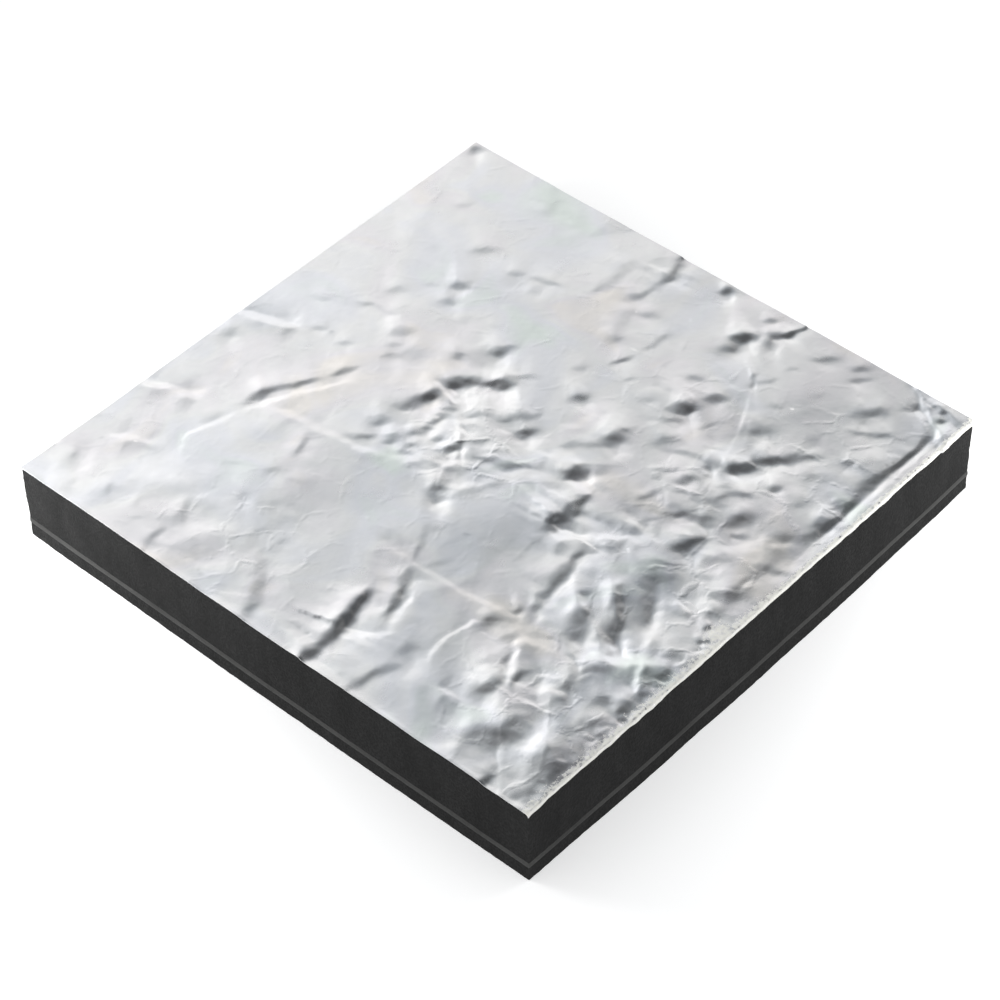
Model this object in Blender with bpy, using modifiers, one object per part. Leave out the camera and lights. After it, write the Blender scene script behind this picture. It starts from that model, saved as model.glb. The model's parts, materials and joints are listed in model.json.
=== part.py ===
"""Foil-faced acoustic insulation panel, lying flat with its bonding side down.

From the bottom up it is a thin decoupler foam, a limp mass-loaded barrier sheet, a thick
open-cell absorber foam and a creased aluminium foil facing, whose front edge is rolled over
the foam. Metres, +Z up, origin at the centre of the underside.
"""

import math
from collections import namedtuple

import bmesh
import bpy
from mathutils import Vector, noise

# Plan size of the panel
PANEL_LENGTH = 0.230
PANEL_WIDTH = 0.230

# Layers, from the bottom up, and the glue line between them
DECOUPLER_THICKNESS = 0.0057
BARRIER_THICKNESS = 0.0020
ABSORBER_THICKNESS = 0.0234
GLUE_LINE = 0.0003

# The facing: its sheet, how far it stands past the foam, and how far it reaches round the
# foam's tight front edge
FOIL_THICKNESS = 0.0002
FOIL_OVERHANG = 0.0005
FOAM_EDGE_RADIUS = 0.0009
WRAP_LENGTH = 0.0021
WRAP_RAGGEDNESS = 0.0008
WRAP_RAG_LENGTH = 0.011

# The hem: a valley pressed into the facing this far behind the front edge, and its two ends
HEM_WIDTH = 0.0080
HEM_LEFT = 0.60
HEM_RIGHT = 0.93

# A nick torn out of the wrap, placed as a share of the length, and the share that it leaves
NICK_PLACE = 0.41
NICK_LENGTH = 0.009
NICK_LEFTOVER = 0.15

# The low puffs that the facing stands in between its creases
PUFF_HEIGHT = 0.0007
PUFF_LENGTH = 0.034

# Mesh of the facing
FOIL_CELL = 0.0050
WRAP_STEPS = 5
SNAP_SHARE = 0.24
WELD_SHARE = 0.08
CUT_TOLERANCE = 1e-6
FOAM_EDGE_STEPS = 5

# Creases of the facing. A place is a share of the length from the left edge and a share of
# the width from the front edge. A rise below nothing is a valley. The reach is how far the
# foil slopes away on each side.
Crease = namedtuple("Crease", "rise reach places")
RIDGE = 0.0011
FOLD = 0.0007
DENT = -0.0009
HEM = -0.0007
WIDE = 0.0075
NARROW = 0.0048
HEM_PLACE = HEM_WIDTH / PANEL_WIDTH
CREASES = (
    Crease(RIDGE, WIDE, ((0.16, 0.85), (0.21, 0.87), (0.32, 0.835), (0.45, 0.785), (0.495, 0.755))),
    Crease(RIDGE, WIDE, ((0.325, 0.835), (0.345, 0.71), (0.365, 0.63), (0.40, 0.57))),
    Crease(RIDGE, WIDE, ((0.01, 0.40), (0.09, 0.40), (0.12, 0.365), (0.21, 0.39), (0.25, 0.425))),
    Crease(RIDGE, NARROW, ((0.243, 0.53), (0.25, 0.30), (0.24, 0.04))),
    Crease(RIDGE, NARROW, ((0.455, 0.99), (0.49, 0.88))),
    Crease(FOLD, NARROW, ((0.255, 0.99), (0.275, 0.90))),
    Crease(FOLD, NARROW, ((0.14, 0.95), (0.16, 0.85))),
    Crease(RIDGE, WIDE, ((0.50, 0.65), (0.55, 0.64), (0.59, 0.615), (0.615, 0.575))),
    Crease(RIDGE, WIDE, ((0.43, 0.50), (0.50, 0.46), (0.58, 0.44), (0.66, 0.42))),
    Crease(RIDGE, NARROW, ((0.635, 0.205), (0.745, 0.235), (0.81, 0.275), (0.88, 0.32), (0.99, 0.34))),
    Crease(FOLD, WIDE, ((0.735, 0.495), (0.85, 0.47))),
    Crease(FOLD, WIDE, ((0.80, 0.735), (0.825, 0.655), (0.86, 0.57), (0.99, 0.55))),
    Crease(FOLD, WIDE, ((0.66, 0.66), (0.73, 0.60), (0.74, 0.50))),
    Crease(FOLD, NARROW, ((0.84, 0.635), (0.94, 0.635))),
    Crease(RIDGE, NARROW, ((0.92, 0.045), (0.985, 0.095))),
    Crease(FOLD, NARROW, ((0.53, 0.12), (0.60, 0.16), (0.68, 0.15))),
    Crease(FOLD, WIDE, ((0.35, 0.36), (0.42, 0.38), (0.52, 0.36))),
    Crease(FOLD, NARROW, ((0.33, 0.10), (0.40, 0.19), (0.47, 0.21))),
    Crease(FOLD, NARROW, ((0.06, 0.20), (0.13, 0.28))),
    Crease(FOLD, NARROW, ((0.60, 0.93), (0.66, 0.86), (0.75, 0.84))),
    Crease(DENT, WIDE, ((0.02, 0.435), (0.15, 0.43), (0.30, 0.46))),
    Crease(DENT, WIDE, ((0.29, 0.25), (0.42, 0.255), (0.50, 0.27))),
    Crease(DENT, WIDE, ((0.12, 0.19), (0.22, 0.22), (0.29, 0.25))),
    Crease(DENT, WIDE, ((0.70, 0.20), (0.745, 0.18), (0.795, 0.12))),
    Crease(DENT, WIDE, ((0.62, 0.375), (0.735, 0.34), (0.785, 0.315))),
    Crease(DENT, WIDE, ((0.49, 0.80), (0.56, 0.76))),
    Crease(FOLD, NARROW, ((0.01, 0.54), (0.065, 0.56), (0.12, 0.615))),
    Crease(FOLD, NARROW, ((0.01, 0.74), (0.06, 0.755), (0.12, 0.77))),
    Crease(FOLD, NARROW, ((0.01, 0.905), (0.10, 0.953))),
    Crease(FOLD, NARROW, ((0.01, 0.307), (0.08, 0.286), (0.20, 0.286), (0.243, 0.229))),
    Crease(RIDGE, NARROW, ((0.11, 0.18), (0.18, 0.107))),
    Crease(RIDGE, NARROW, ((0.136, 0.168), (0.186, 0.193), (0.229, 0.22))),
    Crease(RIDGE, WIDE, ((0.257, 0.125), (0.30, 0.068), (0.332, 0.032))),
    Crease(RIDGE, WIDE, ((0.404, 0.329), (0.443, 0.268), (0.471, 0.186))),
    Crease(RIDGE, WIDE, ((0.546, 0.118), (0.614, 0.039))),
    Crease(FOLD, NARROW, ((0.705, 0.175), (0.745, 0.157), (0.80, 0.11))),
    Crease(DENT, NARROW, ((0.36, 0.505), (0.44, 0.54))),
    Crease(DENT, NARROW, ((0.44, 0.60), (0.50, 0.605))),
    Crease(DENT, NARROW, ((0.50, 0.49), (0.57, 0.505))),
    Crease(DENT, NARROW, ((0.50, 0.375), (0.56, 0.37))),
    Crease(DENT, NARROW, ((0.52, 0.16), (0.56, 0.14))),
    Crease(DENT, NARROW, ((0.90, 0.393), (0.945, 0.35), (0.99, 0.321))),
    Crease(DENT, NARROW, ((0.857, 0.289), (0.911, 0.254))),
    Crease(DENT, NARROW, ((0.889, 0.146), (0.939, 0.107))),
    Crease(DENT, WIDE, ((0.30, 0.18), (0.335, 0.13))),
    Crease(HEM, NARROW, ((HEM_LEFT, HEM_PLACE), (HEM_RIGHT, HEM_PLACE))),
)

# Heights of the layers above the floor
BARRIER_BOTTOM = DECOUPLER_THICKNESS + GLUE_LINE
ABSORBER_BOTTOM = BARRIER_BOTTOM + BARRIER_THICKNESS + GLUE_LINE
ABSORBER_TOP = ABSORBER_BOTTOM + ABSORBER_THICKNESS

# The facing's outer surface: its lowest height, and the roll over the foam's rounded edge
FOIL_FACE = ABSORBER_TOP + GLUE_LINE + FOIL_THICKNESS
ROLL_RADIUS = FOAM_EDGE_RADIUS + GLUE_LINE + FOIL_THICKNESS
ROLL_LENGTH = ROLL_RADIUS * math.pi / 2
ROLL_START = FOAM_EDGE_RADIUS - PANEL_WIDTH / 2
HALF_SHEET_LENGTH = PANEL_LENGTH / 2 + FOIL_OVERHANG
SHEET_BACK = PANEL_WIDTH / 2 + FOIL_OVERHANG


def clear_scene():
    """Removes every object of the file this runs in."""
    for obj in list(bpy.data.objects):
        bpy.data.objects.remove(obj, do_unlink=True)


def make_material(name, hex_colour, roughness, metallic=0.0):
    """A Principled material in one colour, given as sRGB hex."""
    channels = [int(hex_colour[i : i + 2], 16) / 255 for i in (0, 2, 4)]
    linear = [c / 12.92 if c <= 0.04045 else ((c + 0.055) / 1.055) ** 2.4 for c in channels]
    material = bpy.data.materials.new(name)
    material.use_nodes = True
    shader = material.node_tree.nodes["Principled BSDF"]
    shader.inputs["Base Color"].default_value = (*linear, 1.0)
    shader.inputs["Roughness"].default_value = roughness
    shader.inputs["Metallic"].default_value = metallic
    return material


def add_object(name, mesh, material, collection):
    """An object for this mesh, in the panel's collection and with its own material."""
    obj = bpy.data.objects.new(name, mesh)
    obj.data.materials.append(material)
    collection.objects.link(obj)
    return obj


def slab(name, bottom, thickness, material, collection):
    """One flat layer cut to the panel's plan size."""
    bm = bmesh.new()
    bmesh.ops.create_cube(bm, size=1.0)
    bmesh.ops.scale(bm, vec=(PANEL_LENGTH, PANEL_WIDTH, thickness), verts=bm.verts)
    bmesh.ops.translate(bm, vec=(0, 0, bottom + thickness / 2), verts=bm.verts)
    mesh = bpy.data.meshes.new(name)
    bm.to_mesh(mesh)
    bm.free()
    return add_object(name, mesh, material, collection)


def round_top_front_edge(obj):
    """Rounds the edge that the facing is rolled over, where the cut pressed the foam down."""
    mesh = obj.data
    weights = mesh.attributes.new("bevel_weight_edge", "FLOAT", "EDGE")
    top = max(v.co.z for v in mesh.vertices)
    front = min(v.co.y for v in mesh.vertices)
    for edge in mesh.edges:
        ends = [mesh.vertices[i].co for i in edge.vertices]
        on_edge = all(abs(c.z - top) < CUT_TOLERANCE and abs(c.y - front) < CUT_TOLERANCE for c in ends)
        weights.data[edge.index].value = 1.0 if on_edge else 0.0
    bevel = obj.modifiers.new("edge_round", "BEVEL")
    bevel.limit_method = "WEIGHT"
    bevel.width = FOAM_EDGE_RADIUS
    bevel.segments = FOAM_EDGE_STEPS


def sheet_point(place):
    """The flat sheet's point at a share of the length and of the width."""
    return Vector(((place[0] - 0.5) * PANEL_LENGTH, (place[1] - 0.5) * PANEL_WIDTH, 0.0))


def crease_segments(crease):
    """The straight stretches of one crease, on the flat sheet."""
    points = [sheet_point(place) for place in crease.places]
    return list(zip(points, points[1:]))


def distance_to(point, start, end):
    """How far a point of the sheet lies from a straight stretch of crease."""
    along = end - start
    share = max(0.0, min(1.0, (point - start).dot(along) / along.length_squared))
    return (point - start - along * share).length


def press_stretch(bm, start, end, cell):
    """Lays mesh edges along one straight stretch of crease, so that the foil folds on them."""
    along = (end - start).normalized()
    across = Vector((-along.y, along.x, 0.0))
    snap = SNAP_SHARE * cell
    for vert in bm.verts:
        if not vert.is_boundary and distance_to(vert.co, start, end) < snap:
            vert.co -= across * (vert.co - start).dot(across)
    crossed = [
        face for face in bm.faces if distance_to(face.calc_center_median(), start, end) < cell / 2
    ]
    edges = {edge for face in crossed for edge in face.edges}
    verts = {vert for face in crossed for vert in face.verts}
    bmesh.ops.bisect_plane(
        bm,
        geom=crossed + list(edges) + list(verts),
        dist=CUT_TOLERANCE,
        plane_co=start,
        plane_no=across,
    )


def foil_height(point):
    """How far the facing stands off the foam at a point of the flat sheet."""
    puff = 0.5 + 0.5 * noise.noise(point / PUFF_LENGTH)
    height = PUFF_HEIGHT * puff
    up, down = 0.0, 0.0
    for crease in CREASES:
        nearest = min(distance_to(point, start, end) for start, end in crease_segments(crease))
        share = max(0.0, 1.0 - nearest / crease.reach)
        up = max(up, crease.rise * share)
        down = min(down, crease.rise * share)
    return max(0.0, height + up + down)


def wrap_length(x):
    """How far the facing reaches round the front edge at x, ragged and with the nick torn out."""
    rag = noise.noise(Vector((x / WRAP_RAG_LENGTH, 0.0, 0.0)))
    whole = WRAP_LENGTH + WRAP_RAGGEDNESS * rag
    from_nick = abs(x - (NICK_PLACE - 0.5) * PANEL_LENGTH)
    return whole * min(1.0, NICK_LEFTOVER + (from_nick / NICK_LENGTH) ** 2)


def over_the_edge(x, run, height):
    """A point of the facing. run is measured outwards from where the roll starts."""
    if run <= 0:
        return Vector((x, ROLL_START - run, FOIL_FACE + height))
    turn = min(run, ROLL_LENGTH) / ROLL_RADIUS
    hang = max(0.0, run - ROLL_LENGTH)
    radius = ROLL_RADIUS + height * (1.0 - min(run, ROLL_LENGTH) / ROLL_LENGTH)
    return Vector(
        (
            x,
            ROLL_START - radius * math.sin(turn),
            FOIL_FACE - ROLL_RADIUS + radius * math.cos(turn) - hang,
        )
    )


def flat_sheet(bm):
    """The facing laid flat, a grid from the start of the roll to the back edge."""
    depth = SHEET_BACK - ROLL_START
    columns = round(2 * HALF_SHEET_LENGTH / FOIL_CELL)
    rows = round(depth / FOIL_CELL)
    bmesh.ops.create_grid(bm, x_segments=columns, y_segments=rows, size=0.5)
    bmesh.ops.scale(bm, vec=(2 * HALF_SHEET_LENGTH, depth, 1.0), verts=bm.verts)
    bmesh.ops.translate(bm, vec=(0.0, (SHEET_BACK + ROLL_START) / 2, 0.0), verts=bm.verts)
    return min(2 * HALF_SHEET_LENGTH / columns, depth / rows)


def extend_over_edge(bm):
    """Extrudes the flat sheet's front edge row by row, and gives each new vertex's run."""
    front = min(v.co.y for v in bm.verts)
    row = [e for e in bm.edges if all(v.co.y < front + CUT_TOLERANCE for v in e.verts)]
    runs = {}
    for step in range(1, WRAP_STEPS + 1):
        made = bmesh.ops.extrude_edge_only(bm, edges=row)["geom"]
        new_verts = {item for item in made if isinstance(item, bmesh.types.BMVert)}
        new_edges = [item for item in made if isinstance(item, bmesh.types.BMEdge)]
        row = [edge for edge in new_edges if new_verts.issuperset(edge.verts)]
        for vert in new_verts:
            runs[vert] = wrap_length(vert.co.x) * step / WRAP_STEPS
    return runs


def foil_facing(material, collection):
    """The creased foil sheet, rolled over the foam's front edge, as one thin closed shell."""
    bm = bmesh.new()
    cell = flat_sheet(bm)
    for crease in CREASES:
        for start, end in crease_segments(crease):
            press_stretch(bm, start, end, cell)
    bmesh.ops.remove_doubles(bm, verts=bm.verts, dist=WELD_SHARE * cell)
    runs = extend_over_edge(bm)
    bmesh.ops.triangulate(bm, faces=bm.faces)
    for vert in bm.verts:
        run = runs.get(vert, ROLL_START - vert.co.y)
        height = foil_height(vert.co)
        vert.co = over_the_edge(vert.co.x, run, height)
    bmesh.ops.recalc_face_normals(bm, faces=bm.faces)
    mesh = bpy.data.meshes.new("foil_facing")
    bm.to_mesh(mesh)
    bm.free()
    foil = add_object("foil_facing", mesh, material, collection)
    wall = foil.modifiers.new("foil_wall", "SOLIDIFY")
    wall.thickness = FOIL_THICKNESS
    wall.offset = -1.0
    wall.use_even_offset = True
    return foil


def build_panel():
    """Builds the four pieces, from the bottom up."""
    clear_scene()
    collection = bpy.data.collections.new("acoustic_insulation_panel")
    bpy.context.scene.collection.children.link(collection)
    slab(
        "decoupler_foam",
        0.0,
        DECOUPLER_THICKNESS,
        make_material("decoupler_foam", "3A3A3B", 0.95),
        collection,
    )
    slab(
        "barrier_sheet",
        BARRIER_BOTTOM,
        BARRIER_THICKNESS,
        make_material("barrier_sheet", "5E5D5C", 0.80),
        collection,
    )
    absorber = slab(
        "absorber_foam",
        ABSORBER_BOTTOM,
        ABSORBER_THICKNESS,
        make_material("absorber_foam", "343435", 0.95),
        collection,
    )
    round_top_front_edge(absorber)
    foil_facing(make_material("foil_facing", "D2D2D0", 0.30, 1.0), collection)


build_panel()
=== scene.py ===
"""Foil-faced acoustic insulation panel: the look of its four layers, a plain stage and a camera.

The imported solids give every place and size. Each layer is modelled afresh over its solid: two
knife-cut foam slabs, a limp mass-loaded sheet between them, and a creased aluminium foil facing
that is rolled over the front edge. Metres, +Z up, the front corner of the panel at -X -Y.
"""

import json
import math
from collections import namedtuple

import bpy
import numpy as np
from bpy.props import FloatProperty, FloatVectorProperty, IntProperty, PointerProperty
from mathutils import Matrix, Vector, geometry, noise
from mathutils.bvhtree import BVHTree

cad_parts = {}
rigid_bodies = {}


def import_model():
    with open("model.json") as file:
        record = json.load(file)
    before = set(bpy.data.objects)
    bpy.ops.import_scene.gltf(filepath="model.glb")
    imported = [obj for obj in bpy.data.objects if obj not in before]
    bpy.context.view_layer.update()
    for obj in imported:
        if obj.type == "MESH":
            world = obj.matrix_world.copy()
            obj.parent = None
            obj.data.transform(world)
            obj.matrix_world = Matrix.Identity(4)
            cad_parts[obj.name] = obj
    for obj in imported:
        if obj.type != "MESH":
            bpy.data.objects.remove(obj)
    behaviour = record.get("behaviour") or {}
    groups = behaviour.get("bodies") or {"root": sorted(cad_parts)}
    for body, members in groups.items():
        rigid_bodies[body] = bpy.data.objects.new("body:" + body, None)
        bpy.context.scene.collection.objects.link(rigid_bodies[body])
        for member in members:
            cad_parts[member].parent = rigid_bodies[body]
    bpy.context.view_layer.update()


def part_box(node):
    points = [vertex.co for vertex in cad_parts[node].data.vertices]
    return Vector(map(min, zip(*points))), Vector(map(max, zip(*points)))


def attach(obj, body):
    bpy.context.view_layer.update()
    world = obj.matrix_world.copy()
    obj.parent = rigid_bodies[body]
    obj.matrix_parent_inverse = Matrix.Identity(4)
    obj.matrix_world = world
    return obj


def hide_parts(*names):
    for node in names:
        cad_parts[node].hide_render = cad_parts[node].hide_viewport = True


bl_info = {
    "name": "Acoustic Insulation Panel",
    "version": (1, 0, 0),
    "blender": (4, 5, 0),
    "location": "3D View > Sidebar > Insulation",
    "description": "Models a foil-faced acoustic insulation panel over its packed solids",
    "category": "Object",
}

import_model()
MM = 0.001

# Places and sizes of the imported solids
ABSORBER_LOW, ABSORBER_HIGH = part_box("absorber_foam")
BARRIER_LOW, BARRIER_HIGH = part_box("barrier_sheet")
DECOUPLER_LOW, DECOUPLER_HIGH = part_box("decoupler_foam")
FOIL_LOW, FOIL_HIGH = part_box("foil_facing")
LENGTH = ABSORBER_HIGH.x - ABSORBER_LOW.x
WIDTH = ABSORBER_HIGH.y - ABSORBER_LOW.y
GLUE_LINE = BARRIER_LOW.z - DECOUPLER_HIGH.z
FOIL_OVERHANG = FOIL_HIGH.x - ABSORBER_HIGH.x

# The way from the panel's front corner to its back corner, seen from above
TO_BACK_CORNER = np.array([1.0, 1.0]) / math.sqrt(2)
ACROSS = np.array([1.0, -1.0]) / math.sqrt(2)


def panel_shares(thousandths):
    """Shares of the panel's length and width, from thousandths of them."""
    return np.array(thousandths) / 1000


# Lines pressed into the facing: slope at the line, half width in millimetres, and route. The foil
# falls toward the front corner where the slope is above nothing, and so looks darker there. A
# place is in thousandths of the length from the left edge and of the width from the front edge.
Line = namedtuple("Line", "slope half_width route")
LINES = [Line(slope, half_width, panel_shares(route)) for slope, half_width, *route in (
    # Front left quarter, darker lines
    (0.36, 2.2, (0, 422), (40, 419), (80, 423), (110, 432), (165, 443)),
    (0.22, 1.5, (130, 387), (165, 398), (200, 413), (235, 432)),
    (0.09, 1.2, (235, 432), (280, 453), (310, 468)),
    (0.14, 1.7, (0, 335), (30, 330), (55, 325), (90, 312)),
    (0.30, 2.8, (405, 328), (430, 330), (458, 327), (490, 328)),
    (0.24, 1.8, (465, 335), (490, 333), (515, 323)),
    (0.17, 1.8, (290, 247), (330, 249), (370, 255), (400, 261), (430, 266)),
    (0.17, 1.5, (137, 173), (150, 188), (180, 206), (210, 225)),
    (0.22, 1.8, (145, 160), (165, 171), (195, 172)),
    (0.15, 1.5, (0, 83), (25, 78)),
    # Front left quarter, brighter lines
    (-0.09, 1.1, (85, 398), (105, 375), (117, 365), (140, 374), (210, 396)),
    (-0.09, 1.4, (238, 510), (238, 440), (243, 350), (250, 300), (253, 245)),
    (-0.09, 1.6, (250, 250), (235, 200), (250, 142)),
    (-0.16, 1.8, (402, 325), (420, 300), (450, 265), (475, 240), (490, 200)),
    (-0.10, 0.8, (100, 275), (130, 294), (170, 298), (210, 289), (240, 250)),
    (-0.16, 1.3, (85, 252), (92, 225), (92, 190)),
    (-0.19, 1.4, (140, 160), (165, 183), (200, 203), (235, 226)),
    (-0.12, 0.9, (0, 55), (50, 98), (100, 135), (140, 160)),
    (-0.12, 1.9, (250, 142), (270, 115), (290, 85), (310, 60), (335, 30)),
    (-0.19, 1.1, (437, 112), (428, 88), (423, 48)),
    (-0.09, 1.9, (290, 232), (360, 236), (420, 245)),
    (-0.14, 0.9, (210, 115), (205, 145), (185, 165)),
    (-0.14, 1.0, (145, 155), (150, 120), (175, 105)),
    (-0.14, 0.9, (255, 210), (262, 170), (245, 120), (205, 95)),
    (-0.12, 0.8, (255, 75), (245, 100), (215, 110)),
    # Front right quarter, darker lines
    (0.48, 1.9, (898, 394), (915, 375), (942, 356)),
    (0.38, 1.5, (948, 355), (957, 337), (965, 325), (982, 319)),
    (0.34, 1.0, (958, 331), (975, 322), (1000, 314)),
    (0.27, 2.2, (500, 378), (528, 374), (556, 367)),
    (0.17, 1.4, (735, 492), (755, 482), (780, 473)),
    (0.09, 1.4, (785, 475), (820, 467), (860, 462)),
    (0.13, 1.5, (542, 276), (565, 264), (590, 257)),
    (0.15, 1.3, (605, 253), (620, 241), (640, 234)),
    (0.11, 1.5, (650, 315), (665, 280), (676, 238)),
    (0.34, 2.0, (668, 213), (690, 203), (718, 182)),
    (0.24, 1.9, (720, 209), (735, 176), (758, 156), (796, 118)),
    (0.13, 1.3, (640, 190), (650, 165), (667, 135)),
    (0.15, 1.3, (578, 130), (597, 95)),
    (0.18, 1.4, (520, 163), (555, 142)),
    (0.08, 1.6, (470, 45), (520, 50), (560, 45), (610, 35)),
    (0.17, 1.4, (797, 98), (811, 78), (800, 55)),
    (0.12, 1.0, (858, 135), (868, 112), (880, 90), (900, 60)),
    (0.13, 2.2, (888, 150), (905, 130), (925, 115), (945, 100)),
    (0.09, 1.1, (835, 308), (860, 290), (885, 268)),
    (0.07, 1.1, (900, 285), (925, 262)),
    # Front right quarter, brighter lines
    (-0.06, 0.9, (600, 188), (640, 210), (690, 226), (750, 247), (800, 272)),
    (-0.07, 0.8, (750, 247), (800, 272), (845, 298)),
    (-0.07, 0.9, (725, 225), (770, 243), (800, 262)),
    (-0.09, 1.6, (665, 190), (690, 168), (715, 150)),
    (-0.07, 2.0, (535, 135), (560, 105), (590, 75), (640, 30)),
    (-0.12, 1.6, (502, 285), (508, 240), (500, 200), (503, 172)),
    (-0.16, 1.7, (505, 356), (525, 347), (548, 345)),
    # Front right corner: a fold, its rim, and two stripes along the hem
    (-0.32, 1.0, (925, 0), (950, 36), (975, 70), (1000, 106)),
    (0.20, 0.7, (976, 12), (988, 50), (992, 82)),
    (-0.10, 0.7, (700, 17), (780, 19), (860, 17), (930, 20)),
    (0.08, 0.7, (660, 10), (760, 9), (840, 12), (920, 10)),
    # Back left quarter, darker lines
    (0.09, 1.3, (0, 742), (30, 750), (60, 748)),
    (0.10, 2.2, (60, 740), (90, 752), (125, 772)),
    (0.11, 2.2, (0, 537), (40, 552), (70, 572), (100, 600), (118, 625)),
    (0.06, 1.8, (130, 612), (168, 594)),
    (0.13, 1.4, (300, 855), (330, 846), (360, 840), (390, 822), (440, 796)),
    (0.13, 1.2, (435, 797), (465, 786), (490, 772)),
    (0.04, 1.6, (240, 867), (290, 861)),
    (0.13, 1.4, (275, 708), (305, 718), (335, 733)),
    (0.11, 1.4, (400, 645), (420, 618)),
    (0.20, 1.6, (458, 618), (475, 604), (502, 602)),
    (0.14, 1.3, (420, 625), (440, 606), (458, 597)),
    # Back left quarter, brighter lines
    (-0.10, 1.5, (130, 965), (152, 930), (163, 900), (175, 875)),
    (-0.15, 1.5, (250, 1000), (268, 960), (277, 905)),
    (-0.22, 1.4, (455, 1000), (474, 950), (490, 900)),
    (-0.07, 1.1, (165, 840), (190, 860), (210, 868), (250, 856), (300, 842)),
    (-0.10, 1.0, (300, 842), (340, 826), (380, 806), (420, 781), (460, 762)),
    # Back left quarter, soft waves by the left corner
    (-0.04, 2.0, (0, 945), (30, 965), (70, 995)),
    (-0.05, 1.9, (45, 912), (75, 935), (115, 965)),
    (0.05, 1.3, (35, 935), (60, 953), (95, 978)),
    (0.06, 1.3, (0, 905), (30, 925), (50, 938)),
    (0.06, 1.5, (40, 857), (75, 887)),
    (0.06, 1.5, (50, 806), (80, 830)),
    # Back left quarter, more of the brighter lines
    (-0.11, 1.3, (335, 815), (345, 770), (350, 720), (355, 660), (370, 610)),
    (-0.11, 1.4, (370, 610), (390, 580), (410, 556), (422, 515)),
    (-0.05, 1.9, (265, 700), (270, 645)),
    (-0.06, 1.4, (187, 708), (168, 680)),
    (-0.06, 1.7, (120, 768), (142, 750), (136, 720)),
    (-0.09, 1.1, (405, 545), (430, 515), (455, 485)),
    (-0.09, 1.3, (400, 500), (410, 475), (430, 450)),
    (-0.12, 1.5, (465, 430), (485, 415), (500, 390)),
    # Back right quarter, darker lines
    (0.12, 1.3, (500, 897), (516, 868)),
    (0.06, 1.8, (500, 840), (520, 812)),
    (0.05, 1.7, (553, 955), (560, 925), (580, 905)),
    (0.09, 1.4, (583, 883), (600, 860), (605, 830), (613, 803)),
    (0.10, 2.0, (560, 800), (580, 782), (607, 758)),
    (0.14, 1.9, (708, 802), (725, 782), (738, 767)),
    (0.07, 2.0, (860, 922), (882, 897)),
    (0.11, 1.7, (808, 718), (820, 685), (830, 652)),
    (0.04, 2.0, (930, 790), (970, 803), (1000, 822)),
    (0.30, 1.9, (530, 645), (545, 641), (564, 632), (577, 618), (590, 600)),
    (0.36, 2.1, (580, 612), (600, 580), (614, 562)),
    (0.07, 1.4, (605, 605), (630, 575), (650, 545)),
    (0.05, 2.0, (690, 533), (720, 500)),
    (0.06, 2.0, (800, 525), (840, 540), (870, 547)),
    (0.12, 1.5, (868, 578), (890, 556), (930, 548)),
    (0.17, 1.7, (920, 549), (960, 549), (1000, 560)),
    (0.06, 2.2, (830, 620), (870, 611), (910, 610), (955, 620)),
    # Back right quarter, brighter lines
    (-0.20, 1.2, (532, 672), (533, 640), (525, 612), (515, 590)),
    (-0.06, 2.0, (585, 636), (615, 610), (645, 570)),
    (-0.05, 2.2, (775, 693), (805, 715)),
)]
# The half widths are made this many times wider, and a line's slope dies away over this many of
# them, which is this many spreads of a bell curve
LINE_BREADTH = 1.7
LINE_TAIL = 5.0
TAIL_SPREADS = 2.5
# A line swells and thins at this pace. An end inside the sheet fades over this length, down to
# this share, but one nearer the edge than this share of the panel runs out over it.
BEAT_LENGTH = 4.0 * MM
BEAT_RANGE = (0.6, 1.25)
FADE_LENGTH = 7.0 * MM
END_STRENGTH = 0.1
EDGE_SHARE = 0.015
# The way that a line's higher side lies, as parts of the way to the back corner and across
HIGHER_SIDE = TO_BACK_CORNER - 0.5 * ACROSS

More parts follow.
